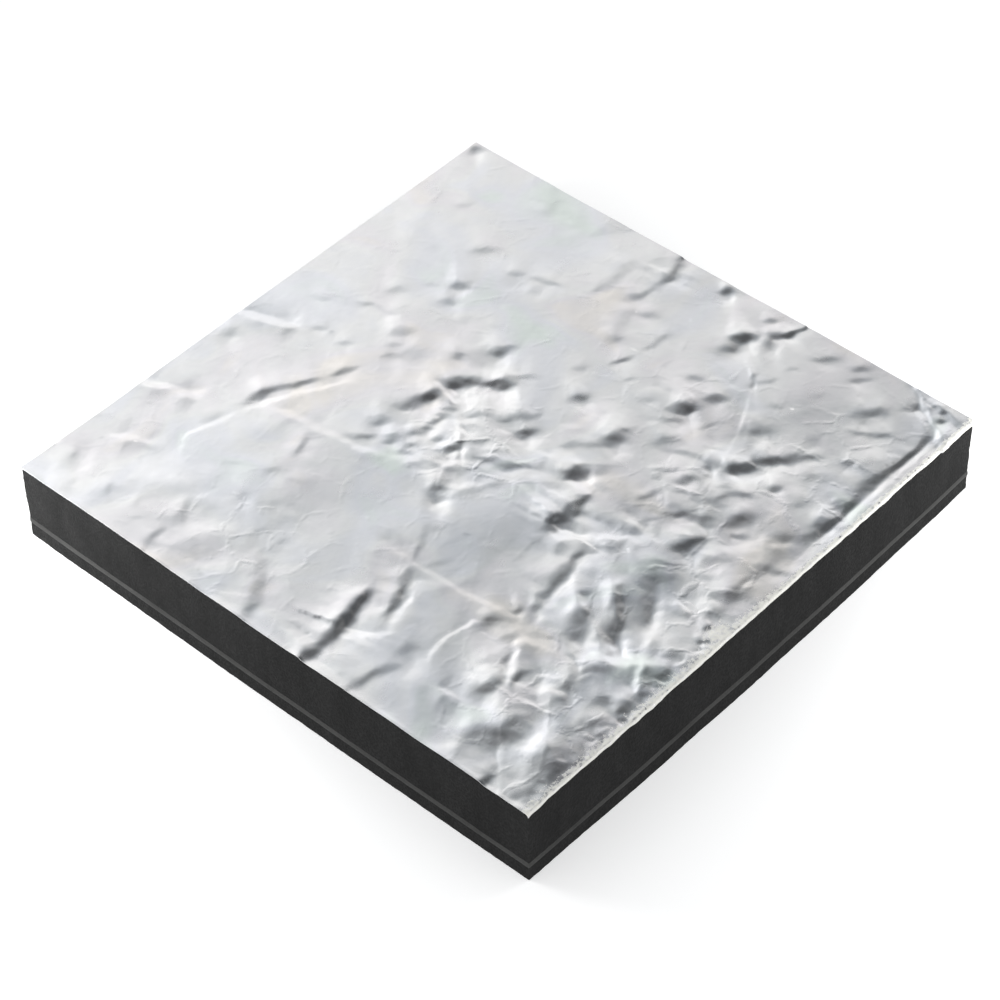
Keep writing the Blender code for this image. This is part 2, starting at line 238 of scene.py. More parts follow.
# Dents that tilt a small area of foil as a line does: place in thousandths, half size in
# millimetres across and along the way to the back corner, slope, and turn in degrees. The marks
# in the middle of the panel stand with a quarter that they touch.
Dent = namedtuple("Dent", "x y across along slope turn", defaults=(0.0,))
DENTS = [Dent(*panel_shares((x, y)), *rest) for x, y, *rest in (
    # Front left quarter
    (115, 325, 3.0, 2.0, 0.08), (225, 272, 3.0, 1.8, 0.17), (268, 258, 1.4, 1.2, 0.16),
    (290, 240, 1.4, 1.2, 0.16), (125, 190, 3.4, 3.0, 0.16), (78, 119, 5.0, 4.0, 0.20),
    (60, 150, 4.0, 3.0, 0.10), (445, 140, 6.0, 3.4, 0.09), (332, 130, 2.6, 4.5, 0.20),
    (313, 180, 2.6, 3.0, 0.17), (288, 163, 4.0, 2.6, 0.14), (370, 115, 2.0, 4.0, 0.04),
    (380, 150, 9.0, 5.0, 0.06), (224, 24, 2.8, 2.6, 0.20), (178, 33, 3.2, 2.4, 0.14),
    (215, 55, 3.6, 2.2, 0.12), (165, 10, 2.0, 1.6, 0.16), (82, 20, 3.0, 2.2, 0.17),
    (25, 28, 3.4, 1.8, 0.12), (205, 105, 2.0, 2.2, 0.14), (255, 95, 3.4, 1.8, 0.12),
    (262, 22, 1.8, 1.4, 0.18), (310, 20, 1.8, 1.4, 0.18), (342, 40, 2.4, 1.6, 0.10),
    (388, 25, 1.1, 0.9, 0.24), (416, 32, 1.1, 0.9, 0.24), (442, 46, 2.4, 1.6, 0.10),
    (488, 46, 4.0, 2.4, 0.13), (370, 160, 3.0, 2.0, 0.07), (355, 205, 3.0, 1.2, 0.10),
    (183, 129, 4.0, 2.4, -0.11), (119, 77, 3.2, 4.2, -0.14), (86, 77, 3.0, 2.2, -0.11),
    (20, 160, 4.0, 2.4, -0.08), (55, 175, 4.0, 3.0, -0.08), (318, 157, 1.4, 3.0, -0.07, -8.0),
    (354, 87, 1.7, 3.8, -0.11, 12.0), (300, 78, 5.0, 2.2, -0.08), (230, 90, 10.0, 6.0, 0.04),
    (255, 40, 1.8, 2.4, -0.09, 20.0), (300, 30, 10.0, 4.0, 0.05), (85, 285, 3.4, 3.4, -0.06),
    (470, 195, 6.0, 3.0, -0.04), (405, 185, 4.0, 2.0, -0.06), (330, 390, 24.0, 11.0, 0.045),
    # Front right quarter
    (543, 487, 3.2, 2.0, 0.23), (560, 515, 5.5, 2.4, 0.14), (655, 475, 2.6, 1.8, 0.20, -14.0),
    (620, 376, 3.6, 2.1, 0.24), (645, 375, 2.6, 0.9, 0.08), (738, 341, 3.6, 2.2, 0.27),
    (734, 333, 1.6, 1.4, 0.14), (785, 320, 2.8, 1.5, 0.22), (800, 371, 2.4, 1.1, 0.11, 14.0),
    (568, 418, 4.5, 1.2, 0.08), (660, 318, 3.0, 2.0, 0.11), (985, 460, 1.8, 1.4, 0.28),
    (975, 366, 2.6, 1.2, 0.14), (887, 372, 4.5, 2.2, 0.13), (935, 334, 1.8, 2.4, 0.12),
    (855, 305, 0.9, 1.8, 0.10), (676, 238, 1.4, 1.6, 0.14), (775, 226, 3.5, 1.6, 0.13),
    (697, 135, 1.9, 1.4, 0.22), (517, 160, 3.8, 2.3, 0.26), (576, 166, 2.3, 1.9, 0.17),
    (613, 132, 3.9, 2.4, 0.20), (560, 215, 3.0, 2.0, 0.08), (523, 110, 2.4, 1.4, 0.12),
    (625, 62, 2.6, 1.6, 0.12), (685, 36, 3.0, 2.0, 0.20), (730, 40, 2.4, 1.6, 0.14),
    (752, 105, 5.0, 2.6, 0.07), (700, 78, 5.0, 2.2, 0.06), (980, 194, 2.6, 1.5, 0.14),
    (962, 180, 3.0, 1.1, 0.13), (965, 246, 3.6, 1.4, 0.12), (968, 36, 1.4, 1.0, 0.22),
    (983, 46, 1.2, 1.0, 0.20), (960, 18, 4.0, 1.8, -0.09), (640, 200, 2.6, 2.6, -0.07),
    (693, 245, 2.0, 3.0, -0.05), (590, 210, 16.0, 8.0, 0.040), (760, 320, 16.0, 8.0, 0.030),
    (640, 425, 7.0, 5.0, -0.04), (850, 200, 9.0, 6.0, 0.03), (700, 60, 5.0, 3.0, -0.06),
    (850, 70, 4.0, 3.0, -0.07),
    # Back left quarter
    (342, 846, 2.8, 1.7, 0.13), (412, 979, 2.8, 2.4, 0.08), (242, 714, 2.4, 1.4, 0.07),
    (178, 712, 2.8, 2.0, 0.05), (420, 667, 3.0, 1.6, 0.13), (470, 660, 4.0, 1.8, 0.10),
    (448, 576, 2.1, 1.2, 0.18), (441, 546, 2.1, 1.2, 0.18), (462, 546, 1.0, 1.8, 0.18),
    (403, 543, 1.8, 1.2, 0.12), (372, 509, 2.7, 2.2, 0.22), (358, 495, 2.4, 1.4, 0.16),
    (472, 457, 4.4, 1.3, 0.13), (468, 486, 3.4, 1.2, 0.10), (490, 560, 5.0, 3.4, -0.10),
    (475, 590, 2.4, 1.6, -0.10), (60, 880, 26.0, 12.0, -0.035), (240, 640, 24.0, 11.0, 0.018),
    (110, 800, 5.0, 2.4, 0.05), (60, 860, 4.0, 2.2, 0.05), (150, 900, 6.0, 2.6, 0.04),
    (100, 700, 6.0, 3.0, -0.04), (50, 640, 6.0, 3.0, -0.05), (300, 770, 9.0, 5.0, 0.020),
    (230, 790, 9.0, 5.0, 0.015),
    # Back right quarter
    (508, 648, 2.9, 1.8, 0.30), (488, 656, 3.6, 2.0, 0.09), (650, 636, 2.5, 1.7, 0.20, -12.0),
    (668, 632, 2.4, 1.2, 0.08), (602, 676, 2.2, 1.8, 0.11, -16.0), (650, 850, 3.0, 1.5, 0.08),
    (686, 770, 3.0, 1.7, 0.09), (811, 811, 3.6, 1.7, 0.09), (986, 990, 2.4, 1.7, 0.16),
    (802, 735, 2.4, 1.4, 0.08), (789, 521, 2.6, 1.8, 0.08), (555, 768, 2.4, 1.4, 0.10),
    (535, 752, 3.0, 1.7, 0.08), (560, 730, 5.0, 3.4, 0.06), (560, 590, 6.0, 4.0, -0.06),
    (620, 700, 8.0, 5.0, -0.02),
)]
# A dent's half sizes are made this many times larger, across and along. Its slope dies away over
# this many of its half lengths, and it is left out beyond this many times where that lies.
DENT_SPREAD = (0.85, 2.0)
DENT_TAIL = 2.5
DENT_REACH = 3.0

# Small streaks scattered over the crumpled areas: place and reach of the area, how many, the
# steepest slope, and their turn from the way across, in degrees
Scatter = namedtuple("Scatter", "x y reach count slope turn")
SCATTER_AREAS = (
    Scatter(0.46, 0.56, 0.12, 52, 0.15, 8.0),
    Scatter(0.50, 0.44, 0.12, 26, 0.09, 5.0),
    Scatter(0.58, 0.20, 0.14, 40, 0.10, 10.0),
    Scatter(0.50, 0.06, 0.16, 22, 0.09, 50.0),
    Scatter(0.28, 0.07, 0.15, 26, 0.11, 60.0),
    Scatter(0.10, 0.08, 0.12, 22, 0.10, 40.0),
    Scatter(0.78, 0.10, 0.14, 18, 0.10, 0.0),
    Scatter(0.72, 0.28, 0.20, 44, 0.09, 5.0),
    Scatter(0.12, 0.70, 0.16, 22, 0.06, 20.0),
    Scatter(0.17, 0.44, 0.13, 8, 0.05, 0.0),
    Scatter(0.70, 0.72, 0.22, 20, 0.04, 0.0),
)
# A streak's half sizes in millimetres, its share of the steepest slope, how far its turn strays
# in degrees, and how many are bright and how strongly
STREAK_ACROSS = (1.2, 4.5)
STREAK_ALONG = (0.4, 1.2)
STREAK_SLOPE = (0.3, 1.0)
STREAK_TURN = 28.0
STREAK_BRIGHT_SHARE = 0.4
STREAK_BRIGHT_SLOPE = -0.8
STREAK_SEED = 7

# How the routes stray: size of the waves, how far they reach, and their seed
STRAY_LAYERS = ((11.0 * MM, 0.8 * MM, 21), (3.5 * MM, 0.7 * MM, 41))

# Where the foil is crumpled most: place and reach as shares of the length, and strength. A patch
# fades out over this many reaches, and the foil between them keeps a little.
Patch = namedtuple("Patch", "x y reach strength")
CRUMPLED_PATCHES = (
    Patch(0.15, 0.08, 0.18, 0.7),
    Patch(0.42, 0.07, 0.20, 0.6),
    Patch(0.75, 0.08, 0.16, 0.6),
    Patch(0.47, 0.53, 0.13, 0.7),
    Patch(0.60, 0.20, 0.14, 0.45),
    Patch(0.75, 0.35, 0.18, 0.3),
    Patch(0.97, 0.04, 0.06, 0.8),
    Patch(0.10, 0.65, 0.16, 0.4),
)
PATCH_FADE = 1.5
CALM_STRENGTH = 0.12

# Facets of the crumpled foil: spacing of their corners and height between them
Facets = namedtuple("Facets", "spacing height seed")
FACET_LAYERS = (
    Facets(9.0 * MM, 0.85 * MM, 3),
    Facets(4.5 * MM, 0.22 * MM, 11),
)
# The facets run toward the back corner, this many times as long as they are wide, and their
# corners stray by this share of the spacing
FACET_STRETCH = 2.2
FACET_STRAY = 0.45
# Plates of foil that lie a little askew all over the panel
PLATES = Facets(38.0 * MM, 0.55 * MM, 5)

# The hem: a valley this far behind the front edge, the reach and depth of its far side, how far
# it wanders, and where its near side leaves the roll
HEM_WIDTH = 5.3 * MM
HEM_BACK = 2.6 * MM
HEM_DEPTH = 0.44 * MM
HEM_WAVE = 0.8 * MM
HEM_RIM = 1.0 * MM
# It wanders in waves: size, share and seed of each, and how they are drawn out across the hem
HEM_WAVES = ((16.0 * MM, 1.0, 61), (5.0 * MM, 0.5, 67))
HEM_WAVE_STRETCH = (1.0, 0.3)
# It comes and goes over these stretches: start and reach, as shares of the length
HEM_START = (0.52, 0.12)
HEM_END = (0.91, 0.04)
# How sharply it is pressed: in waves about a mean, and most over two stretches, whose middle and
# reach are shares of the length
HEM_PRESS_MEAN = 0.22
HEM_PRESS_WAVE = (10.0 * MM, 0.3, 73)
HEM_PRESS_STRETCH = (1.0, 0.2)
HEM_PRESS_RANGE = (0.15, 1.3)
HEM_PRESSED = ((0.705, 0.042), (0.870, 0.050))
# Further left the foil is ragged instead, this far behind the edge, up to this stretch
RAGGED_WIDTH = 8.0 * MM
RAGGED_END = (0.40, 0.1)
HEM_CRUMPLE = Facets(2.0 * MM, 0.24 * MM, 47)
# The left edge curls up by this much over this width, unevenly: a mean, waves and a range
CURL_HEIGHT = 0.30 * MM
CURL_WIDTH = 1.5 * MM
CURL_MEAN = 0.8
CURL_WAVE = (12.0 * MM, 0.9, 71)
CURL_RANGE = (0.2, 1.4)

# Wear of the foil, from 0 to bare: its level at the edge, and its fall for each millimetre on the
# roll, for each scuff width behind the roll's left part, and for each reach round the torn spot
BARE = 1.2
ROLL_WEAR = (2.1, 0.9)
SCUFF_WEAR = (1.2, 0.6)
SCUFF_WIDTH = 2.8 * MM
SCUFF_END = (0.48, 0.16)
TEAR_WEAR = (1.5, 0.9)
TEAR_PLACE = (0.420, 0.016)
TEAR_REACH = (6.0 * MM, 3.6 * MM)
# The torn edge of the wrap strays in waves: size, share, and row of the noise
WRAP_WAVES = ((17.0 * MM, 1.2, 4.0), (4.5 * MM, 0.7, 9.0))

# Faces that meet at less than this many degrees are shaded smooth, on the foil and on cut edges
FOIL_SMOOTH_ANGLE = 70
CUT_SMOOTH_ANGLE = 40
# Points closer than this count as being in one place
TINY = 1e-6


def linear(hex_colour):
    """The linear red, green and blue of an sRGB hex colour."""
    channels = [int(hex_colour[i : i + 2], 16) / 255 for i in (0, 2, 4)]
    return tuple(c / 12.92 if c <= 0.04045 else ((c + 0.055) / 1.055) ** 2.4 for c in channels)


class FoilSettings(bpy.types.PropertyGroup):
    """Sizes and colours of the facing."""

    cell: FloatProperty(
        name="Mesh cell", description="Side of a cell of the foil's mesh", default=0.62 * MM,
        min=0.4 * MM, unit="LENGTH",
    )
    triangles: IntProperty(
        name="Triangles", description="Triangles that the sheet is thinned out to",
        default=94000, min=2000,
    )
    gauge: FloatProperty(
        name="Gauge", description="Thickness of the foil laminate", default=0.2 * MM,
        min=0.05 * MM, unit="LENGTH",
    )
    crease_share: FloatProperty(
        name="Creases", description="Height of the creases, as a share", default=1.0, min=0.0,
        subtype="FACTOR",
    )
    crumple_share: FloatProperty(
        name="Crumple", description="Height of the crumpled facets, as a share", default=1.0,
        min=0.0, subtype="FACTOR",
    )
    edge_radius: FloatProperty(
        name="Edge radius", description="Radius of the foam's edge under the roll",
        default=0.9 * MM, unit="LENGTH",
    )
    wrap: FloatProperty(
        name="Wrap", description="How far the foil reaches round the front edge",
        default=1.9 * MM, unit="LENGTH",
    )
    raggedness: FloatProperty(
        name="Raggedness", description="How far the torn edge of the wrap strays",
        default=0.45 * MM, unit="LENGTH",
    )
    colour: FloatVectorProperty(
        name="Foil", description="Colour of the bare foil", default=linear("F6F6F6"), size=3,
        subtype="COLOR",
    )
    film_colour: FloatVectorProperty(
        name="Film", description="Colour of the film under the foil", default=linear("F1F0E9"),
        size=3, subtype="COLOR",
    )


class FoamSettings(bpy.types.PropertyGroup):
    """Sizes and colours of the foam layers."""

    cell: FloatProperty(
        name="Mesh cell", description="Side of a cell of the cut faces", default=1.25 * MM,
        unit="LENGTH",
    )
    pore: FloatProperty(
        name="Pore", description="Width of the foam's open cells", default=0.8 * MM,
        unit="LENGTH",
    )
    bow: FloatProperty(
        name="Bow", description="How far the front side's foot stands out at its middle",
        default=1.5 * MM, unit="LENGTH",
    )
    absorber_colour: FloatVectorProperty(
        name="Absorber", description="Colour of the thick foam", default=linear("222222"),
        size=3, subtype="COLOR",
    )
    # The thin foam's own charcoal, set a little lighter than the thick foam's as painted bounce
    # light from the floor
    decoupler_colour_with_bounce: FloatVectorProperty(
        name="Decoupler", description="Colour of the thin foam", default=linear("232323"),
        size=3, subtype="COLOR",
    )


class BarrierSettings(bpy.types.PropertyGroup):
    """Sizes and colours of the mass-loaded sheet."""

    cell: FloatProperty(
        name="Mesh cell", description="Side of a cell of the cut edge", default=1.5 * MM,
        unit="LENGTH",
    )
    bulge: FloatProperty(
        name="Bulge", description="How far the cut edge stands past the foam",
        default=0.15 * MM, unit="LENGTH",
    )
    # The vinyl's own dark grey, set lighter as a painted sheen of its cut edge
    colour: FloatVectorProperty(
        name="Barrier", description="Colour of the cut edge", default=linear("363635"),
        size=3, subtype="COLOR",
    )


class StageSettings(bpy.types.PropertyGroup):
    """Floor, light and camera."""

    floor_side: FloatProperty(
        name="Floor", description="Side of the floor", default=12.0, unit="LENGTH"
    )
    floor_colour: FloatVectorProperty(
        name="Floor colour", description="Colour of the floor", default=linear("F4F4F4"),
        size=3, subtype="COLOR",
    )
    fill_light: FloatProperty(
        name="Fill", description="Strength of the soft light from above, in watts per square metre",
        default=0.5,
    )
    side_light: FloatProperty(
        name="Side light", description="Power of the soft lamp beside the left corner, in watts",
        default=0.68,
    )
    lens: FloatProperty(
        name="Lens", description="Focal length in millimetres", default=116.8
    )


def settings():
    """The panel's settings, which the scene keeps."""
    return bpy.context.scene.insulation


def deselect_all():
    """Leaves nothing selected, so that a new primitive stands by itself."""
    for other in bpy.context.view_layer.objects:
        other.select_set(False)
    bpy.context.view_layer.objects.active = None


def only(obj):
    """Selects this object alone and makes it the active one."""
    deselect_all()
    obj.select_set(True)
    bpy.context.view_layer.objects.active = obj


def shade_smooth(obj, degrees):
    """Shades the object smooth but for edges where its faces meet at more than this angle."""
    only(obj)
    bpy.ops.object.shade_smooth_by_angle(angle=math.radians(degrees))


def coordinates(obj):
    """The object's points, one row each."""
    points = np.empty(len(obj.data.vertices) * 3)
    obj.data.vertices.foreach_get("co", points)
    return points.reshape(-1, 3)


def set_coordinates(obj, points):
    """Moves the object's points to these places."""
    obj.data.vertices.foreach_set("co", np.ascontiguousarray(points, dtype=np.float32).ravel())
    obj.data.update()


def finish_piece(obj, material, slot, *nodes):
    """Gives a piece its material and its body, and hides the solids that it stands for."""
    obj.data.materials.clear()
    obj.data.materials.append(material)
    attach(obj, "root")
    if nodes:
        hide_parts(*nodes)


def smooth_step(values):
    """Eases values from 0 to 1, and holds them there outside."""
    values = np.clip(values, 0.0, 1.0)
    return values * values * (3.0 - 2.0 * values)


def rising(values, start, reach):
    """Eases from 0 where the values pass the start to 1 where they are this far past it."""
    return smooth_step((values - start) / reach)


def noise_at(points, scale, seed):
    """Smooth noise from -1 to 1 at each point, flat or solid, with features about this size."""
    shift = Vector((seed * 3.7, seed * 1.3, seed * 7.9))
    return np.array([noise.noise(Vector((*p, 0.0)[:3]) / scale + shift) for p in points])


# Heights of the foil

def strayed(points):
    """The points moved a little by soft noise, so that straight routes run unevenly."""
    moved = points.copy()
    for size, reach, seed in STRAY_LAYERS:
        for axis in (0, 1):
            moved[:, axis] += reach * noise_at(points, size, seed + axis)
    return moved


def distances_to_route(points, route):
    """How far each point lies from a route, the way to it, and how far along the route it is."""
    starts = route[:-1]
    alongs = route[1:] - starts
    steps = np.hypot(alongs[:, 0], alongs[:, 1])
    offsets = points[:, None, :] - starts[None, :, :]
    shares = np.clip((offsets * alongs).sum(2) / steps ** 2, 0.0, 1.0)
    deltas = offsets - shares[:, :, None] * alongs
    lengths = np.hypot(deltas[:, :, 0], deltas[:, :, 1])
    nearest = lengths.argmin(1)
    rows = np.arange(len(points))
    before = np.concatenate(([0.0], np.cumsum(steps)))
    along = before[nearest] + shares[rows, nearest] * steps[nearest]
    return lengths[rows, nearest], deltas[rows, nearest], along, before[-1]


def line_height(points, line, seed):
    """The height that one pressed line adds: a slope across it, which flattens out on each side."""
    route = (line.route - 0.5) * (LENGTH, WIDTH)
    half_width = LINE_BREADTH * line.half_width * MM
    widest = LINE_TAIL * half_width
    height = np.zeros(len(points))
    near = ((points > route.min(0) - widest) & (points < route.max(0) + widest)).all(1)
    if not near.any():
        return height
    distance, delta, along, length = distances_to_route(points[near], route)
    # The higher side is the same all along the line, left or right of its way
    way = route[-1] - route[0]
    left = np.array([-way[1], way[0]])
    higher_left = 1.0 if left @ HIGHER_SIDE > 0 else -1.0
    knots = np.concatenate(([0.0], np.cumsum(np.hypot(*np.diff(route, axis=0).T))))
    stretch = np.clip(np.searchsorted(knots, along, side="right") - 1, 0, len(route) - 2)
    ahead = np.diff(route, axis=0)[stretch]
    side = np.sign(ahead[:, 0] * delta[:, 1] - ahead[:, 1] * delta[:, 0]) * higher_left
    beats = np.arange(0.0, length + BEAT_LENGTH, BEAT_LENGTH)
    random = np.random.default_rng(seed)
    strength = np.interp(along, beats, random.uniform(*BEAT_RANGE, len(beats)))
    half_width = half_width * np.interp(along, beats, random.uniform(*BEAT_RANGE, len(beats)))
    across = side * distance / half_width
    fade = min(FADE_LENGTH, 0.5 * length)
    for place, left_over in ((line.route[0], along), (line.route[-1], length - along)):
        if EDGE_SHARE < min(place[0], 1 - place[0], place[1], 1 - place[1]):
            strength = strength * smooth_step(END_STRENGTH + left_over / fade)
    tail = np.exp(-0.5 * (TAIL_SPREADS * across / LINE_TAIL) ** 2)
    height[near] = line.slope * half_width * across / (1.0 + across ** 2) * tail * strength
    return height


def dent_height(points, dent):
    """The height that one dent adds: a slope at its middle, which flattens out round it."""
    offset = points - (np.array([dent.x, dent.y]) - 0.5) * (LENGTH, WIDTH)
    across_size = DENT_SPREAD[0] * dent.across * MM
    along_size = DENT_SPREAD[1] * dent.along * MM
    near = np.abs(offset).max(1) < DENT_REACH * max(across_size, DENT_TAIL * along_size)
    cosine, sine = math.cos(math.radians(dent.turn)), math.sin(math.radians(dent.turn))
    along = offset[near] @ (cosine * TO_BACK_CORNER + sine * ACROSS) / along_size
    across = offset[near] @ (cosine * ACROSS - sine * TO_BACK_CORNER) / across_size
    edge = np.exp(-0.5 * (across ** 2 + (along / DENT_TAIL) ** 2))
    height = np.zeros(len(points))
    height[near] = dent.slope * along_size * along / (1.0 + along ** 2) * edge
    return height


def scattered_streaks():
    """The small streaks of the crumpled areas, as dents."""
    random = np.random.default_rng(STREAK_SEED)
    for area in SCATTER_AREAS:
        for _ in range(area.count):
            x, y = random.normal((area.x, area.y), area.reach / 2)
            bright = random.random() < STREAK_BRIGHT_SHARE
            slope = area.slope * random.uniform(*STREAK_SLOPE)
            slope = slope * (STREAK_BRIGHT_SLOPE if bright else 1.0)
            yield Dent(
                x, y, random.uniform(*STREAK_ACROSS), random.uniform(*STREAK_ALONG), slope,
                area.turn + random.uniform(-STREAK_TURN, STREAK_TURN),
            )


def crumple_strength(points):
    """How strongly the foil is crumpled at each point, from 0 to 1."""
    shares = points / (LENGTH, WIDTH) + 0.5
    strength = np.full(len(points), CALM_STRENGTH)
    for patch in CRUMPLED_PATCHES:
        away = np.hypot(shares[:, 0] - patch.x, shares[:, 1] - patch.y)
        faded = smooth_step(away / patch.reach / PATCH_FADE)
        strength = np.maximum(strength, patch.strength * (1.0 - faded))
    return strength


def facet_heights(points, facets, stretch=1.0):
    """Heights of a sheet of flat facets with random corners, at each point."""
    random = np.random.default_rng(facets.seed)
    shrink = np.outer(TO_BACK_CORNER, TO_BACK_CORNER) * (1.0 / stretch - 1.0)
    points = points + points @ shrink
    span = 0.5 * max(LENGTH, WIDTH) + 2 * facets.spacing
    count = math.ceil(2 * span / facets.spacing)
    ticks = (np.arange(count + 1) - count / 2) * facets.spacing
    grid = np.stack(np.meshgrid(ticks, ticks), axis=-1).reshape(-1, 2)
    grid = grid + random.uniform(-FACET_STRAY, FACET_STRAY, grid.shape) * facets.spacing
    heights = random.uniform(-0.5, 0.5, len(grid)) * facets.height
    corners, _, triangles, *_ = geometry.delaunay_2d_cdt([Vector(p) for p in grid], [], [], 0, 1e-7)
    sheet = BVHTree.FromPolygons(
        [Vector((*corner, height)) for corner, height in zip(corners, heights)], triangles
    )
    down = Vector((0, 0, -1))
    hits = [sheet.ray_cast(Vector((x, y, 1.0)), down)[0] for x, y in points]
    return np.array([hit.z if hit else 0.0 for hit in hits])


def foil_heights(points):
    """How far the facing stands above its lowest level at each point of the flat sheet."""
    look = settings().foil
    height = np.zeros(len(points))
    bent = strayed(points)
    for seed, line in enumerate(LINES):
        height += line_height(bent, line, seed)
    for dent in (*DENTS, *scattered_streaks()):
        height += dent_height(bent, dent)
    height *= look.crease_share
    height += look.crumple_share * facet_heights(points, PLATES)
    strength = crumple_strength(points) * look.crumple_share
    for facets in FACET_LAYERS:
        height += strength * facet_heights(bent, facets, FACET_STRETCH)
    return height + hem_heights(points)


def along_front(points):
    """How far each point lies behind the front edge, and its share of the length."""
    return points[:, 1] - ABSORBER_LOW.y, points[:, 0] / LENGTH + 0.5


def hem_heights(points):
    """The hem along the front edge: a valley with a rising rim on the right, ragged on the left."""
    from_edge, share = along_front(points)
    valley = rising(share, *HEM_START) * (1.0 - rising(share, *HEM_END))
    drawn_out = points * HEM_WAVE_STRETCH
    wave = sum(part * noise_at(drawn_out, size, seed) for size, part, seed in HEM_WAVES)
    size, part, seed = HEM_PRESS_WAVE
    pressed = HEM_PRESS_MEAN + part * noise_at(points * HEM_PRESS_STRETCH, size, seed)
    for middle, reach in HEM_PRESSED:
        pressed += np.exp(-(((share - middle) / reach) ** 2))
    pressed = np.clip(pressed, *HEM_PRESS_RANGE)
    width = HEM_WIDTH + HEM_WAVE * wave
    rim_side = np.clip((from_edge - HEM_RIM) / (width - HEM_RIM), 0.0, 1.0)
    back_side = 1.0 - smooth_step((from_edge - width) / (HEM_BACK / pressed))
    near = from_edge < RAGGED_WIDTH
    ragged = np.zeros(len(points))
    ragged[near] = facet_heights(points[near], HEM_CRUMPLE)
    ragged *= smooth_step(2.0 - 2.0 * from_edge / RAGGED_WIDTH)
    ragged *= 1.0 - rising(share, *RAGGED_END)
    from_left = points[:, 0] - ABSORBER_LOW.x
    size, part, seed = CURL_WAVE
    curled = np.clip(CURL_MEAN + part * noise_at(points, size, seed), *CURL_RANGE)
    curl = CURL_HEIGHT * curled * np.exp(-np.maximum(from_left, 0.0) / CURL_WIDTH)
    return ragged + curl - HEM_DEPTH * valley * rim_side * back_side


def wear_at(distance, level, fall):
    """Wear that starts at a level, falls with the distance, and stops at bare."""
    return np.clip(level - fall * distance, 0.0, BARE)


def scuff_strength(points):
    """How scuffed the foil is at each point: from 0, over about half of bare in bits, to bare."""
    from_edge, share = along_front(points)
    scuffed = wear_at(from_edge / SCUFF_WIDTH, *SCUFF_WEAR) * (1.0 - rising(share, *SCUFF_END))
    rolled = wear_at(from_edge / MM, *ROLL_WEAR)
    offset = (points - (np.array(TEAR_PLACE) - 0.5) * (LENGTH, WIDTH)) / TEAR_REACH
    torn = wear_at(np.hypot(offset[:, 0], offset[:, 1]), *TEAR_WEAR)
    return np.maximum(np.maximum(scuffed, rolled), torn)


def wrap_lengths(xs):
    """How far the foil reaches round the front edge at each x, with its torn raggedness."""
    look = settings().foil
    strayed_by = sum(
        part * np.array([noise.noise(Vector((x / size, row, 0.0))) for x in xs])
        for size, part, row in WRAP_WAVES
    )
    return look.wrap + look.raggedness * strayed_by


def over_the_edge(points, runs, heights, level):
    """Lays the sheet over the foam's rounded front edge. A run is measured from its start."""
    look = settings().foil
    radius = look.edge_radius + GLUE_LINE + look.gauge
    start = ABSORBER_LOW.y + look.edge_radius
    turn = np.clip(runs / radius, 0.0, math.pi / 2)
    hang = np.clip(runs - radius * math.pi / 2, 0.0, None)
    out = radius + heights
    placed = np.empty((len(points), 3))
    placed[:, 0] = points[:, 0]
    placed[:, 1] = np.where(runs > 0, start - out * np.sin(turn), points[:, 1])
    placed[:, 2] = level - radius + out * np.cos(turn) - hang
    return placed


def foil_sheet():
    """The facing as a creased sheet, rolled over the front edge and given its gauge."""
    look = settings().foil
    level = ABSORBER_HIGH.z + GLUE_LINE + look.gauge
    start = ABSORBER_LOW.y + look.edge_radius
    radius = look.edge_radius + GLUE_LINE + look.gauge
    sides = (LENGTH + 2 * FOIL_OVERHANG, ABSORBER_HIGH.y + FOIL_OVERHANG - start)
    deselect_all()
    bpy.ops.mesh.primitive_grid_add(
        x_subdivisions=round(sides[0] / look.cell),
        y_subdivisions=round(sides[1] / look.cell),
        size=1.0,
        location=(0.0, start + sides[1] / 2, level),
    )
    foil = bpy.context.object
    foil.name = "foil_facing_sheet"
    foil.data.name = foil.name
    foil.scale = (sides[0], sides[1], 1.0)
    bpy.ops.object.transform_apply(location=True, rotation=True, scale=True)
    full_wrap = look.wrap + 2 * look.raggedness
    steps = round(full_wrap / look.cell)
    select_edges(foil, lambda a, b: max(a.y, b.y) < start + 0.1 * look.cell)
    bpy.ops.object.mode_set(mode="EDIT")
    bpy.ops.mesh.spin(
        steps=steps,
        angle=-full_wrap / radius,
        center=(0.0, start, level - radius),
        axis=(1.0, 0.0, 0.0),
    )
    bpy.ops.object.mode_set(mode="OBJECT")
    points = coordinates(foil)
    turned = np.arctan2(start - points[:, 1], points[:, 2] - (level - radius))
    runs = np.where(points[:, 1] < start - TINY, turned * radius, start - points[:, 1])
    runs = np.where(runs > 0, runs * wrap_lengths(points[:, 0]) / full_wrap, runs)
    flat = np.stack([points[:, 0], start - runs], axis=1)
    set_coordinates(foil, over_the_edge(flat, runs, foil_heights(flat), level))
    for name, strength in (("crumple", crumple_strength), ("scuff", scuff_strength)):
        layer = foil.data.attributes.new(name, "FLOAT", "POINT")
        layer.data.foreach_set("value", strength(flat).astype(np.float32))
    only(foil)
    thin = foil.modifiers.new("thin out", "DECIMATE")
    thin.ratio = min(1.0, look.triangles / (2 * len(foil.data.polygons)))
    bpy.ops.object.modifier_apply(modifier=thin.name)
    wall = foil.modifiers.new("gauge", "SOLIDIFY")
    wall.thickness = look.gauge
    wall.offset = -1.0
    bpy.ops.object.modifier_apply(modifier=wall.name)
    shade_smooth(foil, FOIL_SMOOTH_ANGLE)
    return foil


def select_edges(obj, wanted):
    """Selects in the mesh, for edit mode, the edges whose two ends pass a test."""
    bpy.context.tool_settings.mesh_select_mode = (False, True, False)
    mesh = obj.data
    for item in (*mesh.vertices, *mesh.edges, *mesh.polygons):
        item.select = False
    for edge in mesh.edges:
        ends = [mesh.vertices[i] for i in edge.vertices]
        if wanted(ends[0].co, ends[1].co):
            edge.select = True
            for end in ends:
                end.select = True
    only(obj)


# Cut slabs

